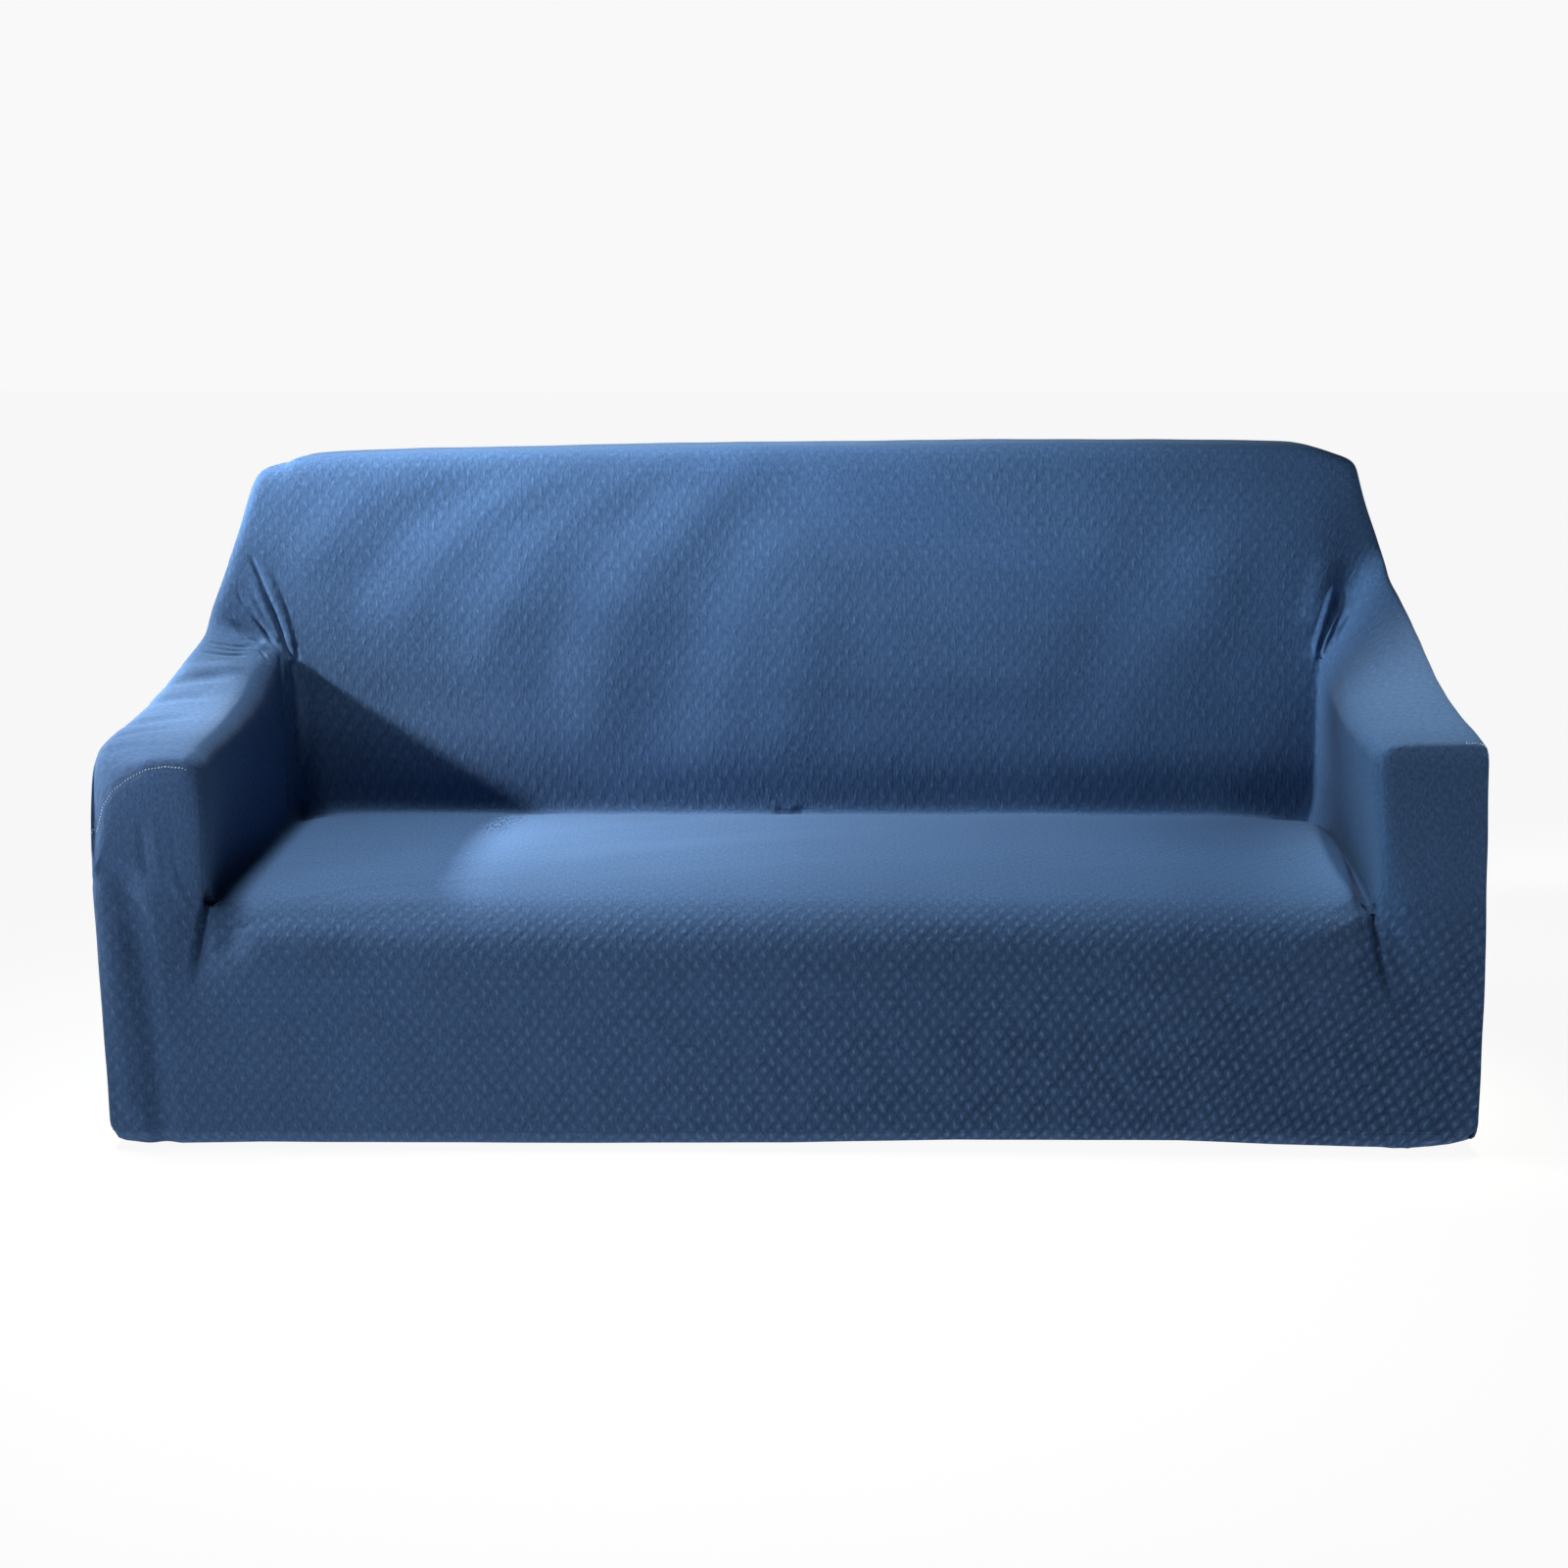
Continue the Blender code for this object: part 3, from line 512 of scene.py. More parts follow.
@dataclass
class Cage:
    """The rough form: quads on a lattice of stations, each with its panel and flat cloth."""

    sizes: CoverSizes = field(default_factory=CoverSizes)
    tuck_crease: float = 1.0
    facing_crease: float = 0.55
    bridge_crease: float = 0.20
    corner_crease: float = 0.85
    deck_crease: float = 0.55
    inward_bend: float = 0.004
    upright_rise: float = 0.02
    left_facing_tilt: float = 0.006
    right_wing_turn: float = 0.030
    facing_belly: float = 0.014
    deck_softness: float = 0.022
    deck_belly: float = 0.006
    edge_sink: float = 0.7
    back_stretch: tuple[float, float] = (1.12, 1.28)
    arm_stretch: float = 1.10
    skirt_shear: float = 0.20
    skirt_tilt: float = 0.12
    skirt_shear_start: float = 0.30

    def arm_top_height(self, x: float, y: float) -> float:
        """Height of the arm's top, whose two edges differ where the cloth bridges to the back.

        Args:
            x, y: the lattice point.
        Returns:
            The height there.
        """
        s = self.sizes
        flank = LEFT if x < 0.0 else RIGHT
        share = ease(s.seat_half, s.arm_out, abs(x))
        height = reading(flank.top_inner, y) * (1.0 - share) + reading(flank.top_outer, y) * share
        return s.arm_top + (height - s.arm_top) * ease(s.arm_rise, s.seat_half, abs(x))

    def real_height(self, x: float, y: float, z: float) -> float:
        """Stretch the heights so that the arm's top and the crown follow their tables.

        Args:
            x, y, z: the lattice point.
        Returns:
            Its height on the cover.
        """
        s = self.sizes
        crown = s.crown - reading(CROWN_DIPS, x)
        arm = self.arm_top_height(x, y)
        if z <= s.seat_top:
            return z
        if z <= s.arm_top:
            return s.seat_top + (z - s.seat_top) * (arm - s.seat_top) / (s.arm_top - s.seat_top)
        return arm + (z - s.arm_top) * (crown - arm) / (s.crown - s.arm_top)

    def real_depth(self, x: float, y: float, z: float) -> float:
        """Lean and swell of the back, whose outside stays upright.

        Args:
            x, y, z: the lattice point.
        Returns:
            Its depth on the cover.
        """
        s = self.sizes
        if y < s.seat_depth:
            return y
        share = (s.total_depth - y) / (s.total_depth - s.seat_depth)
        rise = max(0.0, z - s.seat_top) / (s.crown - s.seat_top)
        middle = max(0.0, 1.0 - (x / s.seat_half) ** 2)
        return y + share * (s.back_lean * rise - s.back_swell * middle * 4.0 * rise * (1.0 - rise))

    def arm_inner_shift(self, x: float, y: float, z: float) -> float:
        """How far the inner face of an arm stands off its station.

        Args:
            x, y, z: the lattice point.
        Returns:
            The shift, outwards.
        """
        s = self.sizes
        if y > s.stations_y[7]:
            return 0.0
        flank = LEFT if x < 0.0 else RIGHT
        rise = ease(s.seat_top, s.arm_top, z)
        face = reading(flank.face_low, y) * (1.0 - rise) + reading(flank.face_high, y) * rise
        near = ease(s.stations_half_x[3], s.seat_half, abs(x))
        near -= ease(s.seat_half, s.stations_half_x[8], abs(x))
        reach = ease(s.stations_z[2], s.seat_top, z) * (1.0 - ease(s.arm_top, s.stations_z[9], z))
        return (face - s.seat_half) * near * reach

    def real_width(self, x: float, y: float, z: float, height: float) -> float:
        """Follow the outline's half widths, and run the skirt's side seams out to the hem.

        Args:
            x, y, z: the lattice point.
            height: its height on the cover.
        Returns:
            Its place across the cover.
        """
        s = self.sizes
        across = abs(x)
        outline = reading((LEFT if x < 0.0 else RIGHT).width, height)
        across += (outline - s.arm_out) * ease(s.shoulder_x, s.arm_out, across)
        across += self.arm_inner_shift(x, y, z)
        if y == 0.0 and z < s.seat_top and s.seat_half <= abs(x) < s.arm_out:
            fall = ((s.seat_top - z) / s.seat_top) ** s.flare_curve
            across += s.seam_flare * fall * (s.arm_out - abs(x)) / (s.arm_out - s.seat_half)
        return math.copysign(across, x)

    def place(self, x: float, y: float, z: float) -> Vector:
        """Move a point of the lattice to its place on the stretched cover.

        Args:
            x: station across.
            y: station from the front.
            z: station above the hem.
        Returns:
            The point in the working frame.
        """
        s = self.sizes
        height = self.real_height(x, y, z)
        point = Vector((self.real_width(x, y, z, height), self.real_depth(x, y, z), height))
        if z == s.seat_top and y <= s.seat_depth and abs(x) <= s.seat_half:
            along = 1.0 - (2.0 * y / s.seat_depth - 1.0) ** 2
            point.z += s.seat_swell * (1.0 - (x / s.seat_half) ** 2) * along
            if abs(x) == s.seat_half:
                point.z -= s.right_tuck if x > 0.0 and y > 0.0 else s.tuck_drop
            if y == s.seat_depth:
                point.z -= s.tuck_drop
                point.y += s.tuck_reach
            if y == s.shoulder_y:
                point.y += s.deck_edge
            if x == -s.shoulder_x and y > 0.0:
                point.x -= s.deck_edge
        if y == 0.0 and z in s.stations_z[3:5]:
            if abs(x) == s.seat_half:
                point.y += s.corner_groove * (1.0 if z == s.seat_top else self.edge_sink)
            if abs(x) == s.shoulder_x:
                point.y -= s.groove_bulge
        if x == s.shoulder_x and z == s.seat_top and s.seat_depth > y > 0.0:
            point.x += s.right_edge * (0.5 + 0.5 * ease(s.stations_y[1], s.stations_y[3], y))
        if y == 0.0 and z == s.facing_top and x <= -s.seat_half:
            point.z = self.arm_top_height(x, y) - reading(LEFT_SEAM_DROPS, abs(x))
        return point + self.soften(x, y, z)

    def soften(self, x: float, y: float, z: float) -> Vector:
        """Step of a lattice point that rounds the stuffed edges under the cloth.

        Args:
            x: station across.
            y: station from the front.
            z: station above the hem.
        Returns:
            The step, nothing away from those edges.
        """
        s = self.sizes
        step = Vector()
        front = y == 0.0
        inner = abs(x) == s.seat_half
        flank = LEFT if x < 0.0 else RIGHT
        if z == s.arm_top and y < s.seat_depth:
            if inner:
                step += Vector((math.copysign(flank.softness, x), 0.0, -flank.softness))
            if front and abs(x) >= s.seat_half:
                step += Vector((0.0, flank.front_softness, -self.edge_sink * flank.front_softness))
        if inner and x < 0.0 and y <= s.stations_y[1] and z == s.stations_z[5]:
            step.x += self.facing_belly * (1.0 if front else self.edge_sink)
        if front and z == s.facing_top and x <= -s.seat_half:
            step.y += self.left_facing_tilt
        if y == s.seat_depth and z > s.arm_top and x > 0.0:
            turn = self.right_wing_turn * ease(s.seat_half, s.arm_out, x)
            step.y += turn * (1.0 - ease(s.stations_z[9], s.stations_z[11], z))
        if front and z == s.seat_top and abs(x) < s.seat_half:
            step += Vector((0.0, self.deck_softness, -self.edge_sink * self.deck_softness))
        if front and z in s.stations_z[2:4] and abs(x) < s.seat_half:
            step.y -= self.deck_belly * (1.0 if z == s.stations_z[3] else 0.5)
        return step

    def inside_sofa(self, x: float, y: float, z: float) -> bool:
        """Tell whether the middle of a lattice cell lies inside the covered form.

        Args:
            x, y, z: that middle.
        Returns:
            True where it does.
        """
        s = self.sizes
        on_arm = z < s.arm_top and abs(x) > s.seat_half
        return z < s.seat_top or on_arm or y > s.seat_depth

    def panel_of(self, middle: Sequence[float], axis: int, sign: int) -> Panel:
        """Name the panel that a cage face belongs to.

        Args:
            middle: the face's middle, in lattice coordinates.
            axis: 0, 1 or 2, the axis that the face looks along.
            sign: -1 or 1, the way it looks.
        Returns:
            The panel.
        """
        s = self.sizes
        x, y, z = middle
        left = x < 0.0
        arm = Panel.ARM_LEFT if left else Panel.ARM_RIGHT
        on_arm = abs(x) > s.seat_half
        if axis == 1 and sign < 0 and y < s.shoulder_y:
            if not on_arm:
                return Panel.SEAT
            if left and z > s.facing_top:
                return arm
            return Panel.FACING_LEFT if left else Panel.FACING_RIGHT
        if axis == 0 and z < s.arm_top:
            return arm
        if axis == 2 and y < s.seat_depth:
            return arm if on_arm else Panel.SEAT
        return Panel.BACK

    def flat_place(
        self, panel: Panel, axis: int, sign: int, station: Point, point: Vector
    ) -> tuple[float, float]:
        """Place of a corner on its flat cut piece, before the cloth was stretched.

        Args:
            panel: the piece.
            axis: the axis that the face looks along.
            sign: the way it looks.
            station: the corner's stations.
            point: the corner's place on the stretched cover.
        Returns:
            Metres across and along the cloth.
        """
        s = self.sizes
        x, y, z = station
        if panel in (Panel.SEAT, Panel.FACING_LEFT, Panel.FACING_RIGHT):
            return self.skirt_place(point)
        if panel is Panel.BACK:
            across, along = point.x, z
            if axis == 2:
                along = s.crown + y - s.seat_depth
            elif axis == 0:
                across = math.copysign(abs(point.x) + y - s.seat_depth, x)
            elif sign > 0:
                along = 2.0 * s.crown + s.total_depth - s.seat_depth - z
            return across / self.back_stretch[0], along / self.back_stretch[1]
        across, along = y, z
        if axis == 2:
            along = s.arm_top + s.arm_out - abs(x)
        elif axis == 1:
            across, along = z - s.arm_top, s.arm_top + s.arm_out - abs(x)
        elif (sign > 0) != (x > 0.0):
            along = 2.0 * s.arm_top + s.arm_out - s.seat_half - z
        return across / self.arm_stretch, along / self.arm_stretch

    def skirt_place(self, point: Vector) -> tuple[float, float]:
        """Place on the seat's cut piece, which is pulled askew towards the lower right corner.

        Args:
            point: a place on the seat or the skirt.
        Returns:
            Its flat place.
        """
        s = self.sizes
        pull = ease(self.skirt_shear_start, s.shoulder_x, point.x)
        across = point.x + self.skirt_shear * max(0.0, s.seat_top - point.z) * pull
        tilt = self.skirt_tilt * max(0.0, point.x - self.skirt_shear_start) * pull
        return across, point.z + point.y + tilt

    def build(self) -> bpy.types.Mesh:
        """Make the skin of the lattice cells inside the form, open at the hem.

        Returns:
            A mesh with a material index for each panel, the UV map of the flat cloth, and sharp
            creases along the tucks.
        """
        s = self.sizes
        stations = (s.stations_x, s.stations_y, s.stations_z)
        counts = [len(line) - 1 for line in stations]

        def filled(cell: Sequence[int]) -> bool:
            """Tell whether a cell of the lattice is there and inside the form.

            Args:
                cell: its number along each axis.
            Returns:
                True where it is.
            """
            if any(n < 0 or n >= count for n, count in zip(cell, counts)):
                return False
            return self.inside_sofa(*[(line[n] + line[n + 1]) / 2.0 for line, n in zip(stations, cell)])

        cage = bmesh.new()
        cloth = cage.loops.layers.uv.new("cloth")
        corners: dict[tuple[int, ...], bmesh.types.BMVert] = {}
        for cell in np.ndindex(*counts):
            for axis, sign in [(axis, sign) for axis in range(3) for sign in (-1, 1)]:
                beyond = list(cell)
                beyond[axis] += sign
                at_hem = axis == 2 and sign < 0 and cell[2] == 0
                if filled(cell) and not filled(beyond) and not at_hem:
                    self.add_face(cage, cloth, corners, stations, cell, axis, sign)
        crease = cage.edges.layers.float.new("crease_edge")
        for edge in cage.edges:
            edge[crease] = self.seam_crease(edge)
        across, height = s.stations_x.index(s.shoulder_x), s.stations_z.index(s.seat_top)
        for back in range(s.stations_y.index(s.shoulder_y)):
            ends = [corners[across, back + n, height] for n in range(2)]
            cage.edges.get(ends)[crease] = self.deck_crease
        mesh = bpy.data.meshes.new("cage")
        cage.to_mesh(mesh)
        cage.free()
        return mesh

    def add_face(
        self,
        cage: bmesh.types.BMesh,
        cloth: bmesh.types.BMLayerItem,
        corners: dict[tuple[int, ...], bmesh.types.BMVert],
        stations: Sequence[Sequence[float]],
        cell: Sequence[int],
        axis: int,
        sign: int,
    ) -> None:
        """Add one face of a cell to the cage.

        Args:
            cage: the cage so far.
            cloth: its UV layer.
            corners: its points, by their stations' numbers.
            stations: the three lines of stations.
            cell: the cell's place in the lattice.
            axis: the axis that the face looks along.
            sign: the way it looks.
        """
        first, second = [other for other in range(3) if other != axis]
        loop = [(0, 0), (1, 0), (1, 1), (0, 1)]
        if (axis == 1) != (sign < 0):
            loop.reverse()
        indices = []
        for a, b in loop:
            index = list(cell)
            index[axis] += sign > 0
            index[first] += a
            index[second] += b
            indices.append(tuple(index))
        places = [tuple(line[n] for line, n in zip(stations, index)) for index in indices]
        for index, station in zip(indices, places):
            if index not in corners:
                corners[index] = cage.verts.new(self.place(*station))
        face = cage.faces.new([corners[index] for index in indices])
        panel = self.panel_of(np.mean(places, axis=0), axis, sign)
        face.material_index = PANELS.index(panel)
        for corner, station in zip(face.loops, places):
            corner[cloth].uv = self.flat_place(panel, axis, sign, station, corner.vert.co)

    def seam_crease(self, edge: bmesh.types.BMEdge) -> float:
        """Sharpness of an edge.

        It is full in the tucks, slight round the right facing, and slighter where the cloth
        bridges the corner between the right arm and the back.

        Args:
            edge: an edge of the cage.
        Returns:
            The sharpness, 0 to 1.
        """
        if len(edge.link_faces) != 2:
            return 0.0
        first, second = edge.link_faces
        if first.material_index == second.material_index:
            return 0.0
        pair = {PANELS[first.material_index], PANELS[second.material_index]}
        one, two = [vert.co for vert in edge.verts]
        rise = abs(one.z - two.z)
        if pair == {Panel.ARM_RIGHT, Panel.BACK}:
            return self.corner_crease if rise > self.upright_rise else self.bridge_crease
        inward = (second.calc_center_median() - first.calc_center_median()).dot(first.normal)
        if inward > self.inward_bend:
            return self.tuck_crease
        level_or_outer = rise < abs(one.x - two.x) or min(one.x, two.x) > self.sizes.stations_half_x[7]
        if pair == {Panel.FACING_RIGHT, Panel.ARM_RIGHT} and level_or_outer:
            return self.facing_crease
        return 0.0


@dataclass
class Skin:
    """The cover's whole outer face as plain arrays.

    Attributes:
        places: the points, in the working frame.
        normals: the way out at each point.
        starts: where each face's corners start in corners.
        corners: point of each face corner.
        cloth: place of each face corner on the flat cloth, in metres.
        panels: index of each face's panel.
        walls: longer steps inwards where the skin bends, so that walls keep their thickness.
        relief: how far the raised pattern stands out at each point, 0 to 1.
        pulls: for each panel, the step of its seam points away from the seam.
    """

    places: np.ndarray
    normals: np.ndarray
    starts: np.ndarray
    corners: np.ndarray
    cloth: np.ndarray
    panels: np.ndarray
    walls: np.ndarray | None = None
    relief: np.ndarray | None = None
    pulls: list[dict[int, np.ndarray]] = field(default_factory=list)

    @classmethod
    def of(cls, mesh: bpy.types.Mesh) -> Skin:
        """Read a mesh into plain arrays.

        Args:
            mesh: the cover's outer face.
        Returns:
            The skin.
        """
        return cls(
            read(mesh.vertices, "co", 3),
            read(mesh.vertex_normals, "vector", 3),
            read(mesh.polygons, "loop_start", 1, int),
            read(mesh.loops, "vertex_index", 1, int),
            read(mesh.uv_layers["cloth"].uv, "vector", 2),
            read(mesh.polygons, "material_index", 1, int),
        )

    @property
    def ends(self) -> np.ndarray:
        """Where each face's corners end in corners."""
        return np.append(self.starts[1:], len(self.corners))

    @property
    def totals(self) -> np.ndarray:
        """Number of corners of each face."""
        return self.ends - self.starts

    def seams(self) -> list[Seam]:
        """List the edges between two panels as (point, point, face, face).

        Returns:
            The edges, each once.
        """
        face_of = np.repeat(np.arange(len(self.starts)), self.totals)
        after = np.arange(len(self.corners)) + 1
        after[self.ends - 1] = self.starts
        low = np.minimum(self.corners, self.corners[after])
        high = np.maximum(self.corners, self.corners[after])
        keys = low * len(self.places) + high
        order = np.argsort(keys, kind="stable")
        same = np.flatnonzero(keys[order][1:] == keys[order][:-1])
        one, two = order[same], order[same + 1]
        differ = self.panels[face_of[one]] != self.panels[face_of[two]]
        columns = (low[one], high[one], face_of[one], face_of[two])
        return list(zip(*[column[differ].tolist() for column in columns]))

    def joins(self, seam: Seam, first: Panel, second: Panel) -> bool:
        """Tell whether a seam's edge joins these two panels."""
        return {PANELS[self.panels[face]] for face in seam[2:]} == {first, second}


@dataclass
class CoverForm:
    """The stretched cover's finished form: its cage rounded, with every fold in it."""

    cage: Cage = field(default_factory=Cage)
    seam_valley: float = 0.0006
    valley_reach: float = 0.0050
    arc_depth: float = 0.060
    arc_foot: float = 0.40
    arc_fade: float = 0.018
    arc_end: float = 0.032
    arc_roof: float = 0.562
    arc_fall: float = 0.110
    arc_full: float = 0.036
    hem_turn: float = 0.011
    hem_turn_height: float = 0.024
    hem_lift_height: float = 0.140
    hem_sway: float = 0.002
    hem_sway_side: float = 0.0015
    hem_sway_turns: tuple[float, float] = (5.1, 9.3)
    hem_sway_start: float = 0.7
    hem_behind: tuple[float, float] = (0.05, 0.20)
    bunch_place: float = 0.862
    bunch_reach: float = 0.026
    bunch_height: float = 0.022
    bunch_drop: float = 0.0025
    ruffle: float = 0.0016
    ruffle_pitch: float = 0.0095
    fine_fold: float = 0.0145
    refine_reach: float = 1.4
    mitre_limit: float = 1.5
    drift_height: float = 0.0006
    drift_seed: int = 11
    drift_waves: int = 9
    drift_lengths: tuple[float, float] = (0.07, 0.26)
    relief_least: float = 0.30
    relief_skirt: float = 0.18
    relief_right: float = 1.05
    relief_right_high: float = 0.35
    relief_right_span: tuple[float, float] = (-0.75, 0.65)
    relief_skirt_depth: float = 0.09
    relief_skirt_top: tuple[float, float] = (0.302, 0.372)
    relief_low: float = 0.08
    relief_level_loss: float = 0.45
    relief_level_span: tuple[float, float] = (0.55, 0.92)
    relief_arm: float = 0.7
    relief_arm_start: float = 0.79

    def skin(self, level: int, passes: int) -> Skin:
        """Round the cage and press the folds, seam valleys and hem into it.

        Args:
            level: of Subdivision Surface.
            passes: times that the faces near narrow folds are halved.
        Returns:
            The cover's whole outer face.
        """
        cage = put("cage", self.cage.build())
        rounding = cage.modifiers.new("rounding", "SUBSURF")
        rounding.levels = rounding.render_levels = level
        mesh = applied(cage)
        bpy.data.objects.remove(cage)
        self.refine_near_folds(mesh, passes)
        skin = Skin.of(mesh)
        seams = skin.seams()
        skin.places = self.raise_arc(skin, seams)
        self.update(skin, mesh)
        lift = sum(fold.lift(skin.places) for fold in ALL_FOLDS) + self.drift(skin.places)
        lift -= self.valley(skin, seams)
        skin.places = skin.places + (skin.normals * lift[:, None] + self.hem_moves(skin))
        self.update(skin, mesh)
        flats = read(mesh.polygon_normals, "vector", 3)
        skin.walls = self.wall_steps(skin, flats)
        skin.relief = self.relief_at(skin)
        skin.pulls = self.seam_pulls(skin, seams, flats)
        bpy.data.meshes.remove(mesh)
        return skin

    @staticmethod
    def update(skin: Skin, mesh: bpy.types.Mesh) -> None:
        """Move the mesh to the skin's places and read its normals again.

        Args:
            skin: the skin, whose normals are replaced.
            mesh: its mesh.
        """
        mesh.vertices.foreach_set("co", skin.places.ravel())
        mesh.update()
        skin.normals = read(mesh.vertex_normals, "vector", 3)

    def refine_near_folds(self, mesh: bpy.types.Mesh, passes: int) -> None:
        """Halve the faces that the narrow folds cross, so that their troughs and ridges show.

        Args:
            mesh: the rounded cage.
            passes: how often they are halved.
        """
        narrow = [fold for fold in ALL_FOLDS if fold.half_width / MM <= self.fine_fold]
        skin = bmesh.new()
        skin.from_mesh(mesh)
        for _ in range(passes):
            middles = np.array([face.calc_center_median() for face in skin.faces])
            crossed = np.zeros(len(middles), bool)
            for fold in narrow:
                reach = self.refine_reach * fold.half_width / MM
                near = fold.close_by(middles, reach)
                crossed[near[fold.nearest(middles[near])[0] < reach]] = True
            skin.faces.ensure_lookup_table()
            edges = {edge for index in np.flatnonzero(crossed) for edge in skin.faces[index].edges}
            bmesh.ops.subdivide_edges(skin, edges=list(edges), cuts=1, use_grid_fill=True)
        skin.normal_update()
        skin.to_mesh(mesh)
        skin.free()

    def raise_arc(self, skin: Skin, seams: list[Seam]) -> np.ndarray:
        """Slide the cloth up the front of the left arm until the sewn arc lies as it should.

        Args:
            skin: the rounded cage.
            seams: its seams.
        Returns:
            The moved points.
        """
        first, last = min(LEFT_SEAM_ARC), max(LEFT_SEAM_ARC)
        x, y, z = skin.places.T
        sewn = {
            point for seam in seams if skin.joins(seam, Panel.FACING_LEFT, Panel.ARM_LEFT)
            for point in seam[:2]
            if y[point] < self.arc_depth and z[point] > self.arc_foot
            and first - self.arc_fade < x[point] < last
        }
        across, heights = np.array(sorted((x[point], z[point]) for point in sewn)).T
        shift = np.interp(x, across, reading(LEFT_SEAM_ARC, across) - heights)
        now = np.interp(x, across, heights)
        above = (self.arc_roof - z) / (self.arc_roof - now)
        share = np.where(z > now, above, 1.0 - (now - z) / self.arc_fall)
        share = ease(0.0, 1.0, share) * (1.0 - ease(self.arc_full, self.arc_depth, y))
        share *= ease(first - self.arc_fade, first, x) * (1.0 - ease(last, last + self.arc_end, x))
        moved = skin.places.copy()
        moved[:, 2] += shift * share
        return moved

    def hem_moves(self, skin: Skin) -> np.ndarray:
        """Turn the elastic hem in under the edge and give its line the real unevenness.

        Args:
            skin: the skin before its folds.
        Returns:
            The step of each point.
        """
        x, y, z = skin.places.T
        turn = np.clip(1.0 - z / self.hem_turn_height, 0.0, 1.0) ** 2
        turn_x, turn_y = self.hem_sway_turns
        sway = self.hem_sway * (1.0 + np.sin(x * turn_x + self.hem_sway_start))
        sway += self.hem_sway_side * np.sin(y * turn_y)
        behind = ease(*self.hem_behind, y)
        lift = reading(FRONT_HEM_LIFTS, x) * (1.0 - behind) + sway * behind
        bunch = np.exp(-(((x - self.bunch_place) / self.bunch_reach) ** 2)) * (1.0 - behind)
        bunch *= 1.0 - ease(0.0, self.bunch_height, z)
        ruffle = self.ruffle * np.sin(x * 2.0 * math.pi / self.ruffle_pitch) * bunch
        moves = skin.normals * (ruffle - turn * self.hem_turn)[:, None]
        moves[:, 2] += lift * (1.0 - ease(0.0, self.hem_lift_height, z)) - self.bunch_drop * bunch
        return moves

    def drift(self, places: np.ndarray) -> np.ndarray:
        """Slight unevenness that keeps the cloth from looking machined.

        Args:
            places: the points.
        Returns:
            A height at each of them.
        """
        chance = np.random.default_rng(self.drift_seed)
        total = np.zeros(len(places))
        for _ in range(self.drift_waves):
            direction = chance.normal(size=3)
            direction /= np.linalg.norm(direction)
            length = chance.uniform(*self.drift_lengths)
            turn = chance.uniform(0.0, 2.0 * math.pi)
            total += np.sin(places @ direction * (2.0 * math.pi / length) + turn)
        return total * self.drift_height / 3.0

    def relief_at(self, skin: Skin) -> np.ndarray:
        """How far the raised pattern stands out: full on the skirt, less where it is stretched.

        Args:
            skin: the skin.
        Returns:
            The share at each of its points.
        """
        s = self.cage.sizes
        x, y, z = skin.places.T
        skirt = (1.0 - ease(0.0, self.relief_skirt_depth, y)) * (1.0 - ease(*self.relief_skirt_top, z))
        high = ease(self.relief_low, s.seat_top, z)
        right = self.relief_right * ease(*self.relief_right_span, x)
        right *= 1.0 - (1.0 - self.relief_right_high) * high
        # The same share sets how strongly the knit's painted groove shade and crest highlight show, besides
        # its bump.
        relief = self.relief_least + skirt * (self.relief_skirt + right)
        relief *= 1.0 - self.relief_level_loss * ease(*self.relief_level_span, skin.normals[:, 2])
        on_arm = (np.abs(x) > self.relief_arm_start) & (z > s.seat_top) & (y < s.seat_depth)
        relief[on_arm] *= self.relief_arm
        return relief

    def valley(self, skin: Skin, seams: list[Seam]) -> np.ndarray:
        """Depth of the slight valley that sewing pulls along the facings' seams.

        Args:
            skin: the skin before its folds.
            seams: its seams.
        Returns:
            The depth at each point.
        """
        pairs = ((Panel.FACING_LEFT, Panel.ARM_LEFT), (Panel.FACING_RIGHT, Panel.ARM_RIGHT))
        sewn = sorted({
            point for seam in seams if any(skin.joins(seam, *pair) for pair in pairs)
            for point in seam[:2]
        })
        tree = KDTree(len(sewn))
        for number, point in enumerate(sewn):
            tree.insert(skin.places[point], number)
        tree.balance()
        low = skin.places[sewn].min(0) - self.valley_reach
        high = skin.places[sewn].max(0) + self.valley_reach
        depth = np.zeros(len(skin.places))
        for point in np.flatnonzero(((skin.places > low) & (skin.places < high)).all(axis=1)):
            away = tree.find(skin.places[point])[2] / self.valley_reach
            depth[point] = self.seam_valley * max(0.0, 1.0 - away) ** 2
        return depth

    def wall_steps(self, skin: Skin, flats: np.ndarray) -> np.ndarray:
        """Lengthen the step inwards at each point that lies on a bend.

        Args:
            skin: the folded skin.
            flats: the normals of its faces.
        Returns:
            How many times the cloth's thickness each point steps in.
        """
        each = np.repeat(flats, skin.totals, axis=0)
        aligned = (each * skin.normals[skin.corners]).sum(axis=1)
        summed = np.bincount(skin.corners, aligned, len(skin.places))
        number = np.bincount(skin.corners, minlength=len(skin.places))
        return 1.0 / np.clip(summed / np.maximum(number, 1), 1.0 / self.mitre_limit, 1.0)

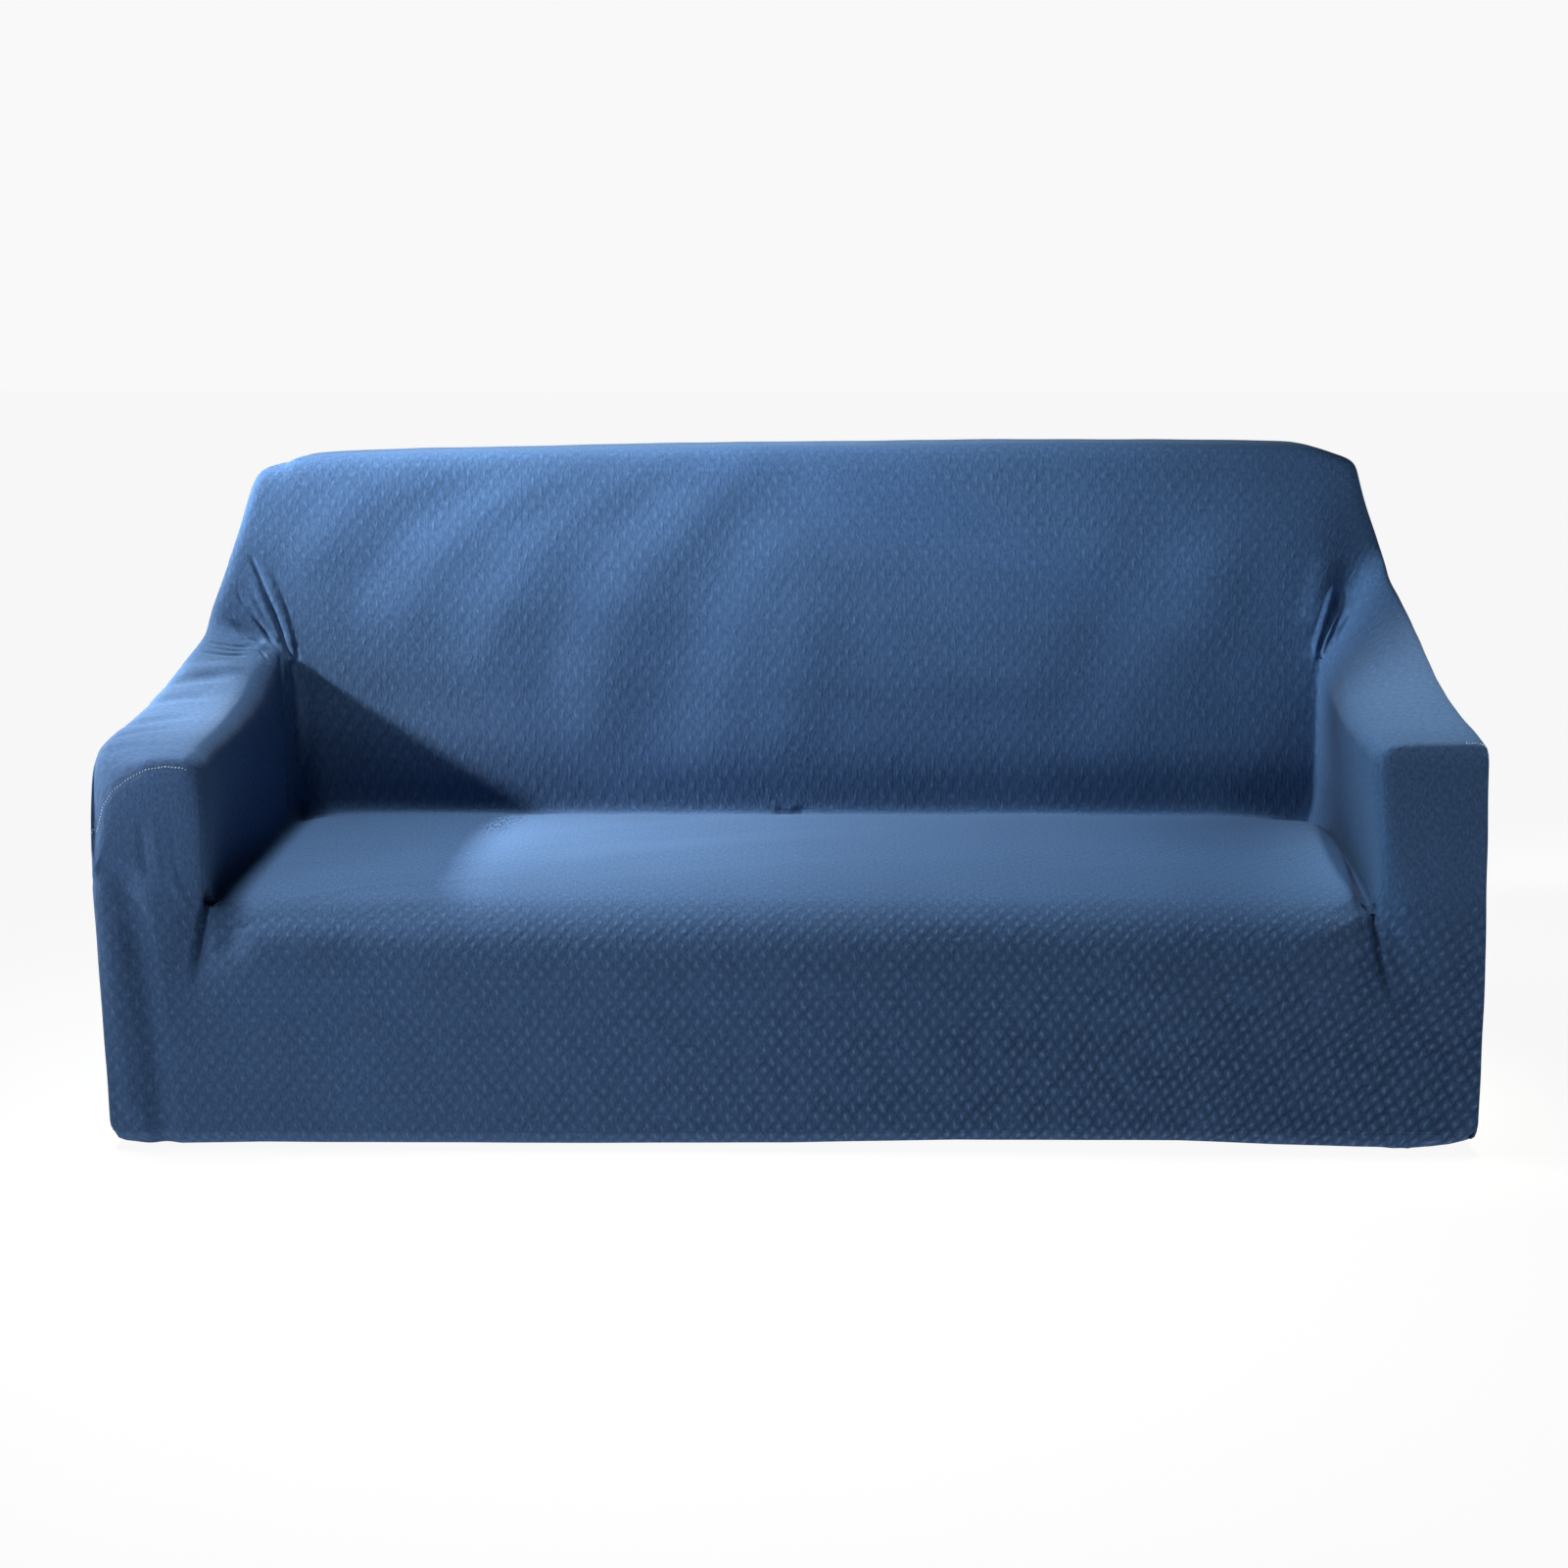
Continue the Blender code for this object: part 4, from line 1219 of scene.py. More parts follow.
    def seam_pulls(
        self, skin: Skin, seams: list[Seam], flats: np.ndarray
    ) -> list[dict[int, np.ndarray]]:
        """Work out the step that draws each panel's border back from its seams.

        Args:
            skin: the folded skin.
            seams: its seams.
            flats: the normals of its faces.
        Returns:
            For each panel, the step of each of its seam points.
        """
        found: list[dict[int, list[np.ndarray]]] = [{} for _ in PANELS]
        ends = skin.ends
        for first, second, *faces in seams:
            run = skin.places[second] - skin.places[first]
            for face in faces:
                across = np.cross(flats[face], run)
                across /= np.linalg.norm(across)
                middle = skin.places[skin.corners[skin.starts[face]:ends[face]]].mean(axis=0)
                across = math.copysign(1.0, across @ (middle - skin.places[first])) * across
                for point in (first, second):
                    found[skin.panels[face]].setdefault(point, []).append(across)
        half = self.cage.sizes.seam_gap / 2.0
        means = [{point: np.mean(ways, axis=0) for point, ways in panel.items()} for panel in found]
        return [
            {point: mean / max(np.linalg.norm(mean), 0.5) ** 2 * half for point, mean in panel.items()}
            for panel in means
        ]


@dataclass(frozen=True)
class Wire:
    """An output in a node tree, which arithmetic turns into Math nodes."""

    pen: NodePen
    socket: bpy.types.NodeSocket

    def out(self, name: str) -> Wire:
        """Give another output of the same node."""
        return Wire(self.pen, self.socket.node.outputs[name])

    def __add__(self, other: Value) -> Wire:
        """Add a wire or a number."""
        return self.pen.math("ADD", self, other)

    def __sub__(self, other: Value) -> Wire:
        """Take away a wire or a number."""
        return self.pen.math("SUBTRACT", self, other)

    def __mul__(self, other: Value) -> Wire:
        """Multiply by a wire or a number."""
        return self.pen.math("MULTIPLY", self, other)

    def __pow__(self, other: Value) -> Wire:
        """Raise to a power."""
        return self.pen.math("POWER", self, other)


Value = Union[Wire, float]


@dataclass(frozen=True)
class NodePen:
    """Writes the nodes of one tree."""

    tree: bpy.types.NodeTree

    def add(self, kind: str, inputs: dict | None = None, output: int = 0, **settings: object) -> Wire:
        """Add a node.

        Args:
            kind: Blender's name for it.
            inputs: a wire or a constant for each input, by the input's name or number.
            output: number of the output to give.
            settings: the node's own settings.
        Returns:
            That output.
        """
        node = self.tree.nodes.new(kind)
        for name, value in settings.items():
            setattr(node, name, value)
        self.feed(node, inputs or {})
        return Wire(self, node.outputs[output])

    def feed(self, node: bpy.types.Node, inputs: dict) -> None:
        """Give inputs of a node a wire or a constant each.

        Args:
            node: the node.
            inputs: the wires and constants, by the input's name or number.
        """
        for name, value in inputs.items():
            if isinstance(value, Wire):
                self.tree.links.new(value.socket, node.inputs[name])
            elif node.inputs[name].type == "RGBA":
                node.inputs[name].default_value = (*value, 1.0)
            else:
                node.inputs[name].default_value = value

    def math(self, operation: str, *values: Value) -> Wire:
        """Add a Math node."""
        return self.add("ShaderNodeMath", dict(enumerate(values)), operation=operation)

    def noise(self, place: Wire, scale: float, detail: float) -> Wire:
        """Noise on the flat cloth, 0 to 1."""
        inputs = {"Vector": place, "Scale": scale, "Detail": detail}
        return self.add("ShaderNodeTexNoise", inputs, noise_dimensions="2D")

    def wave(self, turn: Wire) -> Wire:
        """Absolute sine of an angle: 0 in the grooves, 1 between them."""
        return self.math("ABSOLUTE", self.math("SINE", turn))

    def mix(self, share: Wire, first: Wire | Colour, second: Wire | Colour) -> Wire:
        """Mix two colours."""
        return self.add("ShaderNodeMix", {0: share, 6: first, 7: second}, 2, data_type="RGBA")

    def bump(self, height: Wire, strength: float, distance: float) -> Wire:
        """Turn a height into a normal."""
        inputs = {"Height": height, "Strength": strength, "Distance": distance}
        return self.add("ShaderNodeBump", inputs)

    def random(self, low: float, high: float, seed: int) -> Wire:
        """Give each point or piece its own number between two."""
        inputs = {2: low, 3: high, "Seed": seed}
        return self.add("FunctionNodeRandomValue", inputs, 1, data_type="FLOAT")


def new_material(name: str) -> tuple[bpy.types.Material, NodePen, bpy.types.Node]:
    """Make a plain material, with the pen for its nodes and its shader.

    Args:
        name: the material's name.
    Returns:
        The material, the pen and the shader.
    """
    material = bpy.data.materials.new(name)
    material.use_nodes = True
    return material, NodePen(material.node_tree), material.node_tree.nodes["Principled BSDF"]


@dataclass(frozen=True)
class Cloud:
    """A layer of noise on the flat cloth: its scale and detail, how much it adds, and to what."""

    scale: float
    detail: float
    gain: float
    base: float

    def lay(self, pen: NodePen, place: Wire) -> Wire:
        """Write the layer's nodes."""
        return pen.noise(place, self.scale, self.detail) * self.gain + self.base


@dataclass(frozen=True)
class KnitFinish:
    """The jacquard knit: raised lozenges on a fine stretch knit, with a soft sheen.

    The pattern reads the panel's UV map, in metres on the flat cloth, and the attribute relief. Its colour
    is painted darker in the grooves and lighter on the raised lozenges: painted shade and painted highlight
    of the relief.
    """

    ground: Colour = (0.0352, 0.080, 0.178)
    # The crest colour is a painted highlight on the raised lozenges; the next colour is painted shade in
    # their grooves.
    crest: Colour = (0.070, 0.138, 0.272)
    groove_painted_shade: Colour = (0.015, 0.040, 0.100)
    sheen_tint: Colour = (0.62, 0.80, 1.0)
    lozenge_width: float = 0.0205
    lozenge_height: float = 0.0270
    strays: tuple[Cloud, ...] = (Cloud(9.0, 2.0, 0.006, -0.003), Cloud(75.0, 1.0, 0.0065, -0.00325))
    peak_share: float = 0.64
    peak_powers: tuple[float, float] = (4.0, 2.0)
    pillow_powers: tuple[float, float] = (0.35, 0.75)
    patches: Cloud = Cloud(30.0, 3.0, 1.6, 0.2)
    least_patch: float = 0.1
    # Stops of the painted shade, ground and painted highlight along the pattern's height, and how strongly
    # they show.
    steps: tuple[float, float, float] = (0.05, 0.40, 0.95)
    painted_shade_share: float = 0.6
    slow_tone: Cloud = Cloud(2.6, 4.0, 0.16, 0.92)
    mottle: Cloud = Cloud(160.0, 3.0, 0.30, 0.85)
    grain_tone: tuple[float, float] = (0.90, 0.55)
    loop_shape: Point = (1.0, 0.45, 1.0)
    relief_depth: float = 0.0013
    grain_size: float = 0.0030
    grain_relief: float = 0.30
    roughness: float = 0.85
    sheen: float = 0.05
    sheen_roughness: float = 0.40
    specular: float = 0.20

    def build(self, name: str) -> bpy.types.Material:
        """Make the material.

        Args:
            name: the material's name.
        Returns:
            The material.
        """
        material, pen, shader = new_material(name)
        cloth = pen.add("ShaderNodeUVMap", uv_map="cloth")
        height = self.lozenges(pen, cloth)
        relief = pen.add("ShaderNodeAttribute", attribute_name="relief").out("Fac")
        strength = relief * pen.math("MAXIMUM", self.patches.lay(pen, cloth), self.least_patch)
        loops = pen.add("ShaderNodeVectorMath", {0: cloth, 1: self.loop_shape}, operation="MULTIPLY")
        grain = pen.noise(loops, 1.0 / self.grain_size, 2.0)
        pen.feed(shader, {
            "Normal": pen.bump(height * strength + grain * self.grain_relief, 1.0, self.relief_depth),
            "Base Color": self.colour(pen, height, strength, grain, cloth),
            "Roughness": self.roughness,
            "Specular IOR Level": self.specular,
            "Sheen Weight": self.sheen,
            "Sheen Roughness": self.sheen_roughness,
            "Sheen Tint": self.sheen_tint,
        })
        return material

    def lozenges(self, pen: NodePen, cloth: Wire) -> Wire:
        """Height of the raised lozenges: pillows between two families of slanting grooves.

        Args:
            pen: writes the nodes.
            cloth: place on the flat cloth.
        Returns:
            The height, 0 to 1.
        """
        across = pen.add("ShaderNodeSeparateXYZ", {0: cloth})
        slow, fine = self.strays
        stray = slow.lay(pen, cloth) + fine.lay(pen, cloth)
        turn_u = (across + stray) * (math.pi / self.lozenge_width)
        turn_v = (across.out("Y") - stray) * (math.pi / self.lozenge_height)
        rising = pen.wave(turn_u + turn_v)
        falling = pen.wave(turn_u - turn_v)
        narrow = pen.wave(turn_u * 2.0 + math.pi / 2.0)
        peak = (rising * falling) ** self.peak_powers[0] * narrow ** self.peak_powers[1]
        pillow = rising ** self.pillow_powers[0] * falling ** self.pillow_powers[1]
        return peak * self.peak_share + pillow * (1.0 - self.peak_share)

    def colour(self, pen: NodePen, height: Wire, strength: Wire, grain: Wire, cloth: Wire) -> Wire:
        """Mix the knit's ground colour with painted shade in the grooves and a painted highlight on the
        crests.

        Args:
            pen: writes the nodes.
            height: height of the pattern, 0 to 1.
            strength: how far the pattern stands out there.
            grain: the fine loops.
            cloth: place on the flat cloth.
        Returns:
            The colour.
        """
        # Painted shade in the grooves, the ground colour, and a painted highlight on the crests, by the
        # pattern's height.
        steps = pen.add("ShaderNodeValToRGB", {0: height})
        stops = steps.socket.node.color_ramp.elements
        stops[0].position, stops[1].position = self.steps[::2]
        stops.new(self.steps[1])
        for stop, colour in zip(stops, (self.groove_painted_shade, self.ground, self.crest)):
            stop.color = (*colour, 1.0)
        ground_with_painted_shade = pen.mix(strength * self.painted_shade_share, self.ground, steps)
        gain, base = self.grain_tone
        tone = self.slow_tone.lay(pen, cloth) * self.mottle.lay(pen, cloth) * (grain * gain + base)
        return pen.add("ShaderNodeVectorMath", {0: ground_with_painted_shade, "Scale": tone}, operation="SCALE")


@dataclass(frozen=True)
class ThreadFinish:
    """Spun polyester sewing thread."""

    colour: Colour = (0.40, 0.50, 0.64)
    roughness: float = 0.6
    ply: float = 0.0006
    groove_shade: float = 0.7

    def build(self, name: str) -> bpy.types.Material:
        """Make the material, with the twist of the thread's plies.

        Args:
            name: the material's name.
        Returns:
            The material.
        """
        material, pen, shader = new_material(name)
        place = pen.add("ShaderNodeTexCoord").out("Object")
        across = pen.add("ShaderNodeSeparateXYZ", {0: place})
        twist = pen.wave((across + across.out("Z")) * (math.pi / self.ply))
        # Painted shade in the grooves between the plies: the colour drops to this share there.
        dark = tuple(value * self.groove_shade for value in self.colour)
        pen.feed(shader, {
            "Normal": pen.bump(twist, 0.5, self.ply / 4.0),
            "Base Color": pen.mix(twist, dark, self.colour),
            "Roughness": self.roughness,
        })
        return material


@dataclass
class CutPanel:
    """One sewn panel of knit: cut out of the skin, thickened and dressed.

    Attributes:
        panel: which panel it is.
        flat: width and length of the cloth it was cut from; not used.
        area: flat area of the cut, in square metres; not used.
    """

    panel: Panel
    flat: tuple[float, float]
    area: float

    def build(self, skin: Skin, sizes: CoverSizes, finish: bpy.types.Material) -> bpy.types.Object:
        """Make the panel's closed mesh.

        Args:
            skin: the cover's whole outer face.
            sizes: the cover's sizes.
            finish: the knit.
        Returns:
            The panel's object.
        """
        index = PANELS.index(self.panel)
        rows = np.flatnonzero(skin.panels == index)
        spans = [slice(start, end) for start, end in zip(skin.starts[rows], skin.ends[rows])]
        outer, numbers = np.unique(
            np.concatenate([skin.corners[span] for span in spans]), return_inverse=True
        )
        faces = [face.tolist() for face in np.split(numbers, np.cumsum(skin.totals[rows])[:-1])]
        pull = np.array([skin.pulls[index].get(int(point), np.zeros(3)) for point in outer])
        front = skin.places[outer] + pull
        walls = skin.normals[outer] * (sizes.cloth * skin.walls[outer])[:, None]
        points = np.concatenate([front, front - walls]) - np.array(sizes.hang_point)
        all_faces, all_cloth = self.close(faces, [skin.cloth[span] for span in spans], len(outer))
        mesh = bpy.data.meshes.new(self.panel.value + "_cloth")
        mesh.from_pydata(points.tolist(), [], all_faces)
        mesh.uv_layers.new(name="cloth").uv.foreach_set("vector", np.array(all_cloth).ravel())
        relief = mesh.attributes.new("relief", "FLOAT", "POINT")
        relief.data.foreach_set("value", np.tile(skin.relief[outer], 2).astype(np.float32))
        mesh.materials.append(finish)
        self.set_normals(mesh, skin.normals[outer], len(faces))
        return put(mesh.name, mesh)

    @staticmethod
    def set_normals(mesh: bpy.types.Mesh, outs: np.ndarray, outer_faces: int) -> None:
        """Shade the cloth as one skin, so that no seam shows where none should.

        Args:
            mesh: the panel.
            outs: the way out at each of its outer points.
            outer_faces: number of outer faces; as many inner ones follow them.
        """
        totals = read(mesh.polygons, "loop_total", 1, int)
        normals = np.repeat(read(mesh.polygon_normals, "vector", 3), totals, axis=0)
        smooth = np.vstack([outs, -outs])[read(mesh.loops, "vertex_index", 1, int)]
        count = totals[:2 * outer_faces].sum()
        normals[:count] = smooth[:count]
        mesh.shade_smooth()
        mesh.normals_split_custom_set(normals.tolist())

    @staticmethod
    def close(
        faces: list[list[int]], cloth: list[np.ndarray], count: int
    ) -> tuple[list[list[int]], list[np.ndarray]]:
        """Add the inner face and the rim.

        Args:
            faces: the outer faces.
            cloth: the flat place of each of their corners.
            count: number of outer points; the inner ones follow them.
        Returns:
            All faces, and the flat places of all their corners.
        """
        closed = list(faces)
        places = [place for face in cloth for place in face]
        borders: dict[tuple[int, int], tuple[np.ndarray, np.ndarray]] = {}
        for face, corners in zip(faces, cloth):
            closed.append([point + count for point in reversed(face)])
            places.extend(reversed(list(corners)))
            for here, there in zip(range(len(face)), [*range(1, len(face)), 0]):
                borders[face[here], face[there]] = (corners[here], corners[there])
        for (first, second), (flat_first, flat_second) in borders.items():
            if (second, first) not in borders:
                closed.append([second, first, first + count, second + count])
                places.extend([flat_second, flat_first, flat_first, flat_second])
        return closed, places


@dataclass(frozen=True)
class StitchRow:
    """A row of machine stitches along a line on the cloth, laid by Geometry Nodes.

    Attributes:
        name: the piece's name.
        pitch: from one stitch to the next.
        length: of a stitch.
        thickness: of its thread.
        slant: angle between a stitch and the line, in radians.
        seed: for the slight differences between stitches.
        uneven: share by which a stitch may be smaller or larger, and turn in radians.
        segments: sides of a stitch.
        rings: its divisions along its axis.
    """

    name: str
    pitch: float
    length: float
    thickness: float
    slant: float
    seed: int = 3
    uneven: float = 0.12
    segments: int = 6
    rings: int = 5

    def build(
        self, lines: list[Line], sizes: CoverSizes, thread: bpy.types.Material
    ) -> bpy.types.Object:
        """Lay the stitches and make them one plain mesh.

        Args:
            lines: for each line its points and the way out at each of them.
            sizes: the cover's sizes.
            thread: the thread's material.
        Returns:
            The stitches' object.
        """
        points = np.concatenate([line for line, _ in lines]) - np.array(sizes.hang_point)
        last = np.cumsum([len(line) for line, _ in lines]) - 1
        edges = [(n, n + 1) for n in range(len(points) - 1) if n not in last]
        mesh = bpy.data.meshes.new(self.name + "_line")
        mesh.from_pydata(points.tolist(), edges, [])
        out = mesh.attributes.new("out", "FLOAT_VECTOR", "POINT")
        outs = np.concatenate([outs for _, outs in lines])
        out.data.foreach_set("vector", outs.ravel().astype(np.float32))
        piece = put(self.name, mesh)
        sewing = piece.modifiers.new("sewing", "NODES")
        sewing.node_group = self.tree(thread)
        values = {"Pitch": self.pitch, "Stitch length": self.length, "Thread": self.thickness,
                  "Slant": self.slant}
        for socket in sewing.node_group.interface.items_tree:
            if socket.name in values:
                sewing[socket.identifier] = values[socket.name]
        plain_mesh = applied(piece)
        piece.modifiers.remove(sewing)
        piece.data = plain_mesh
        plain_mesh.name = self.name
        plain_mesh.shade_smooth()
        return piece

    def tree(self, thread: bpy.types.Material) -> bpy.types.NodeTree:
        """Build the tree: points along the line, each with one stitch lying on the cloth.

        Args:
            thread: the thread's material.
        Returns:
            The node tree.
        """
        tree = bpy.data.node_groups.new(self.name + "_sewing", "GeometryNodeTree")
        face = tree.interface
        face.new_socket("Geometry", in_out="INPUT", socket_type="NodeSocketGeometry")
        for name in ("Pitch", "Stitch length", "Thread", "Slant"):
            face.new_socket(name, in_out="INPUT", socket_type="NodeSocketFloat")
        face.new_socket("Geometry", in_out="OUTPUT", socket_type="NodeSocketGeometry")
        pen = NodePen(tree)
        source = pen.add("NodeGroupInput")
        line = pen.add("GeometryNodeMeshToCurve", {"Mesh": source})
        spaced = {"Curve": line, "Length": source.out("Pitch")}
        points = pen.add("GeometryNodeResampleCurve", spaced, mode="LENGTH")
        out = pen.add("GeometryNodeInputNamedAttribute", {"Name": "out"}, data_type="FLOAT_VECTOR")
        upright = pen.add("FunctionNodeAlignRotationToVector", {"Vector": out}, axis="Z")
        aim = {"Rotation": upright, "Vector": pen.add("GeometryNodeInputTangent")}
        along = pen.add("FunctionNodeAlignRotationToVector", aim, axis="X", pivot_axis="Z")
        wobble = pen.random(-self.uneven, self.uneven, self.seed + 1)
        turn = pen.add("ShaderNodeCombineXYZ", {"Z": source.out("Slant") + wobble})
        turns = {"Rotation": along, "Rotate By": pen.add("FunctionNodeEulerToRotation", {0: turn})}
        placed = pen.add("GeometryNodeInstanceOnPoints", {
            "Points": points,
            "Instance": self.stitch(pen, source),
            "Rotation": pen.add("FunctionNodeRotateRotation", turns, rotation_space="LOCAL"),
            "Scale": pen.random(1.0 - self.uneven, 1.0 + self.uneven, self.seed),
        })
        real = pen.add("GeometryNodeRealizeInstances", {"Geometry": placed})
        dressed = pen.add("GeometryNodeSetMaterial", {"Geometry": real, "Material": thread})
        pen.feed(tree.nodes.new("NodeGroupOutput"), {"Geometry": dressed})
        return tree

    def stitch(self, pen: NodePen, source: Wire) -> Wire:
        """Shape one stitch: a small arch of thread, fattest at its middle.

        Args:
            pen: writes the nodes.
            source: the tree's inputs.
        Returns:
            The stitch's mesh.
        """
        shape = {"Segments": self.segments, "Rings": self.rings, "Radius": 0.5}
        ball = pen.add("GeometryNodeMeshUVSphere", shape)
        thread = source.out("Thread")
        size = pen.add("ShaderNodeCombineXYZ", {0: source.out("Stitch length"), 1: thread, 2: thread})
        return pen.add("GeometryNodeTransform", {"Geometry": ball, "Scale": size})


@dataclass(frozen=True)
class SeamLines:
    """Finds lines on the skin that stitches follow."""

    skin: Skin
    lift: float = 0.0003

    def between(self, first: Panel, second: Panel, keep: Callable[[np.ndarray], bool]) -> list[Line]:
        """Chain the seam between two panels into lines.

        Args:
            first: one panel.
            second: the other.
            keep: tells whether a point belongs to the wanted stretch.
        Returns:
            Points and ways out for each line.
        """
        places, normals = self.skin.places, self.skin.normals
        links: dict[int, list[int]] = {}
        for seam in self.skin.seams():
            one, two = seam[:2]
            if self.skin.joins(seam, first, second) and keep(places[one]) and keep(places[two]):
                links.setdefault(one, []).append(two)
                links.setdefault(two, []).append(one)
        return [(places[walk] + normals[walk] * self.lift, normals[walk]) for walk in self.walks(links)]

    def above_hem(self, height: float) -> list[Line]:
        """Trace the line that runs round the cover at one height above the hem.

        Args:
            height: above the hem's lowest point.
        Returns:
            Points and ways out for each line.
        """
        skin = self.skin
        heights = skin.places[:, 2]
        cuts: dict[tuple[int, int], Line] = {}
        links: dict[tuple[int, int], list[tuple[int, int]]] = {}
        crossing = np.add.reduceat(heights[skin.corners] < height, skin.starts)
        ends = skin.ends
        for row in np.flatnonzero((crossing > 0) & (crossing < skin.totals)):
            face = skin.corners[skin.starts[row]:ends[row]].tolist()
            pairs = zip(face, face[1:] + face[:1])
            keys = [(min(pair), max(pair)) for pair in pairs
                    if (heights[pair[0]] < height) != (heights[pair[1]] < height)]
            for one, two in keys:
                share = (height - heights[one]) / (heights[two] - heights[one])
                out = skin.normals[one] * (1.0 - share) + skin.normals[two] * share
                place = skin.places[one] * (1.0 - share) + skin.places[two] * share
                cuts[one, two] = (place + out * self.lift, out)
            if len(keys) == 2:
                links.setdefault(keys[0], []).append(keys[1])
                links.setdefault(keys[1], []).append(keys[0])
        loops = [[cuts[key] for key in (*walk, walk[0])] for walk in self.walks(links)]
        return [tuple(np.array(column) for column in zip(*loop)) for loop in loops]

    @staticmethod
    def walks(links: dict) -> list[list]:
        """Walk linked points from end to end, from the lowest where they form a loop.

        Args:
            links: the neighbours of each point.
        Returns:
            The points of each walk, in order.
        """
        found = []
        left = set(links)
        while left:
            walk = [min([point for point in left if len(links[point]) == 1] or left)]
            left.discard(walk[0])
            while onward := [other for other in links[walk[-1]] if other in left]:
                walk.append(onward[0])
                left.discard(onward[0])
            if len(walk) > 3:
                found.append(walk)
        return found


@dataclass
class Slipcover:
    """The whole cover: its form, its panels and its sewing.

    Attributes:
        form: the stretched form.
        knit: the cloth's finish.
        thread: the facings' thread.
        hem_thread: the hem's thread, in the cloth's own colour.
        left_sewn: the left overlock shows beyond this x and above this z.
        right_sewn: the same on the right.
        hem_rows: heights of the stitches' rows above the hem.
        overlock_left: stitches of the left facing.
        overlock_right: stitches of the right facing.
        hem_stitches: stitches of the hem.
        cuts: the panels.
    """

    form: CoverForm = field(default_factory=CoverForm)
    knit: KnitFinish = KnitFinish()
    thread: ThreadFinish = ThreadFinish()
    hem_thread: ThreadFinish = ThreadFinish((0.045, 0.095, 0.190))
    left_sewn: tuple[float, float] = (-0.818, 0.440)
    right_sewn: tuple[float, float] = (0.915, 0.535)
    hem_rows: tuple[float, ...] = (0.016, 0.021)
    overlock_left: StitchRow = StitchRow("overlock_left", 0.0046, 0.0034, 0.0012, 0.7)
    overlock_right: StitchRow = StitchRow("overlock_right", 0.0036, 0.0036, 0.0013, 0.9)
    hem_stitches: StitchRow = StitchRow("hem_stitches", 0.0042, 0.0030, 0.0006, 0.0)
    cuts: tuple[CutPanel, ...] = (
        CutPanel(Panel.SEAT, (1.66, 0.93), 1.46),
        CutPanel(Panel.BACK, (1.86, 1.68), 2.86),
        CutPanel(Panel.ARM_LEFT, (0.82, 0.92), 0.68),
        CutPanel(Panel.ARM_RIGHT, (0.82, 0.97), 0.72),
        CutPanel(Panel.FACING_LEFT, (0.16, 0.52), 0.066),
        CutPanel(Panel.FACING_RIGHT, (0.16, 0.57), 0.070),
    )

    def build(self) -> list[bpy.types.Object]:
        """Build and dress every piece, and attach it to the body.

        Returns:
            The pieces.
        """
        finish = self.knit.build("jacquard_knit")
        coarse = self.form.skin(3, 2)
        fine = self.form.skin(4, 2)
        LOG.info("skins: %d points for the back, %d for the rest", len(coarse.places), len(fine.places))
        sizes = self.form.cage.sizes
        pieces = [
            cut.build(coarse if cut.panel is Panel.BACK else fine, sizes, finish) for cut in self.cuts
        ]
        stitches = self.sew(fine)
        rows = list(stitches.values())
        for piece in [*pieces, *rows]:
            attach(piece, BODY)
            LOG.info("%s: %d faces", piece.name, len(piece.data.polygons))
        for cut, piece in zip(self.cuts, pieces):
            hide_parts(cut.panel.value)
            sewn = [stitches[cut.panel]] if cut.panel in stitches else []
        return [*pieces, *rows]

    def sew(self, skin: Skin) -> dict[Panel, bpy.types.Object]:
        """Sew the facings and the hem.

        Args:
            skin: the finer skin.
        Returns:
            The stitches, by the panel they are on.
        """
        thread = self.thread.build("sewing_thread")
        dark = self.hem_thread.build("hem_thread")
        lines = SeamLines(skin)
        sizes = self.form.cage.sizes
        left_x, left_z = self.left_sewn
        right_x, right_z = self.right_sewn
        left = lines.between(
            Panel.FACING_LEFT, Panel.ARM_LEFT, lambda p: p[0] < left_x and p[2] > left_z
        )
        right = lines.between(
            Panel.FACING_RIGHT, Panel.ARM_RIGHT, lambda p: p[0] > right_x and p[2] > right_z
        )
        hem = [line for height in self.hem_rows for line in lines.above_hem(height)]
        return {
            Panel.FACING_LEFT: self.overlock_left.build(left, sizes, thread),
            Panel.FACING_RIGHT: self.overlock_right.build(right, sizes, thread),
            Panel.SEAT: self.hem_stitches.build(hem, sizes, dark),
        }


@dataclass(frozen=True)
class SoftBox:
    """A rectangular studio light, aimed at a point; its places are in the working frame."""

    name: str
    place: Point
    target: Point
    size: tuple[float, float]
    power: float
    colour: Colour
    spread: float

    def build(self, origin: Vector) -> None:
        """Hang the light.

        Args:
            origin: the scene's origin in the working frame.
        """
        lamp = bpy.data.lights.new(self.name, "AREA")
        lamp.shape = "RECTANGLE"
        lamp.size, lamp.size_y = self.size
        lamp.energy = self.power
        lamp.color = self.colour
        lamp.spread = math.radians(self.spread)
        item = put(self.name, lamp)
        item.location = Vector(self.place) - origin
        direction = Vector(self.target) - Vector(self.place)
        item.rotation_euler = direction.to_track_quat("-Z", "Y").to_euler()


KEY = (-3.30, 0.0, 1.93)        # the key lights all stand here
KEY_SIZE = (0.22, 0.22)
LOW_LEFT = (-2.60, -1.90, 0.08)  # in front of the left arm, near the floor
COOL = (0.84, 0.98, 1.0)
CLEAR = (0.98, 0.98, 1.0)
WARM = (1.0, 0.92, 0.78)


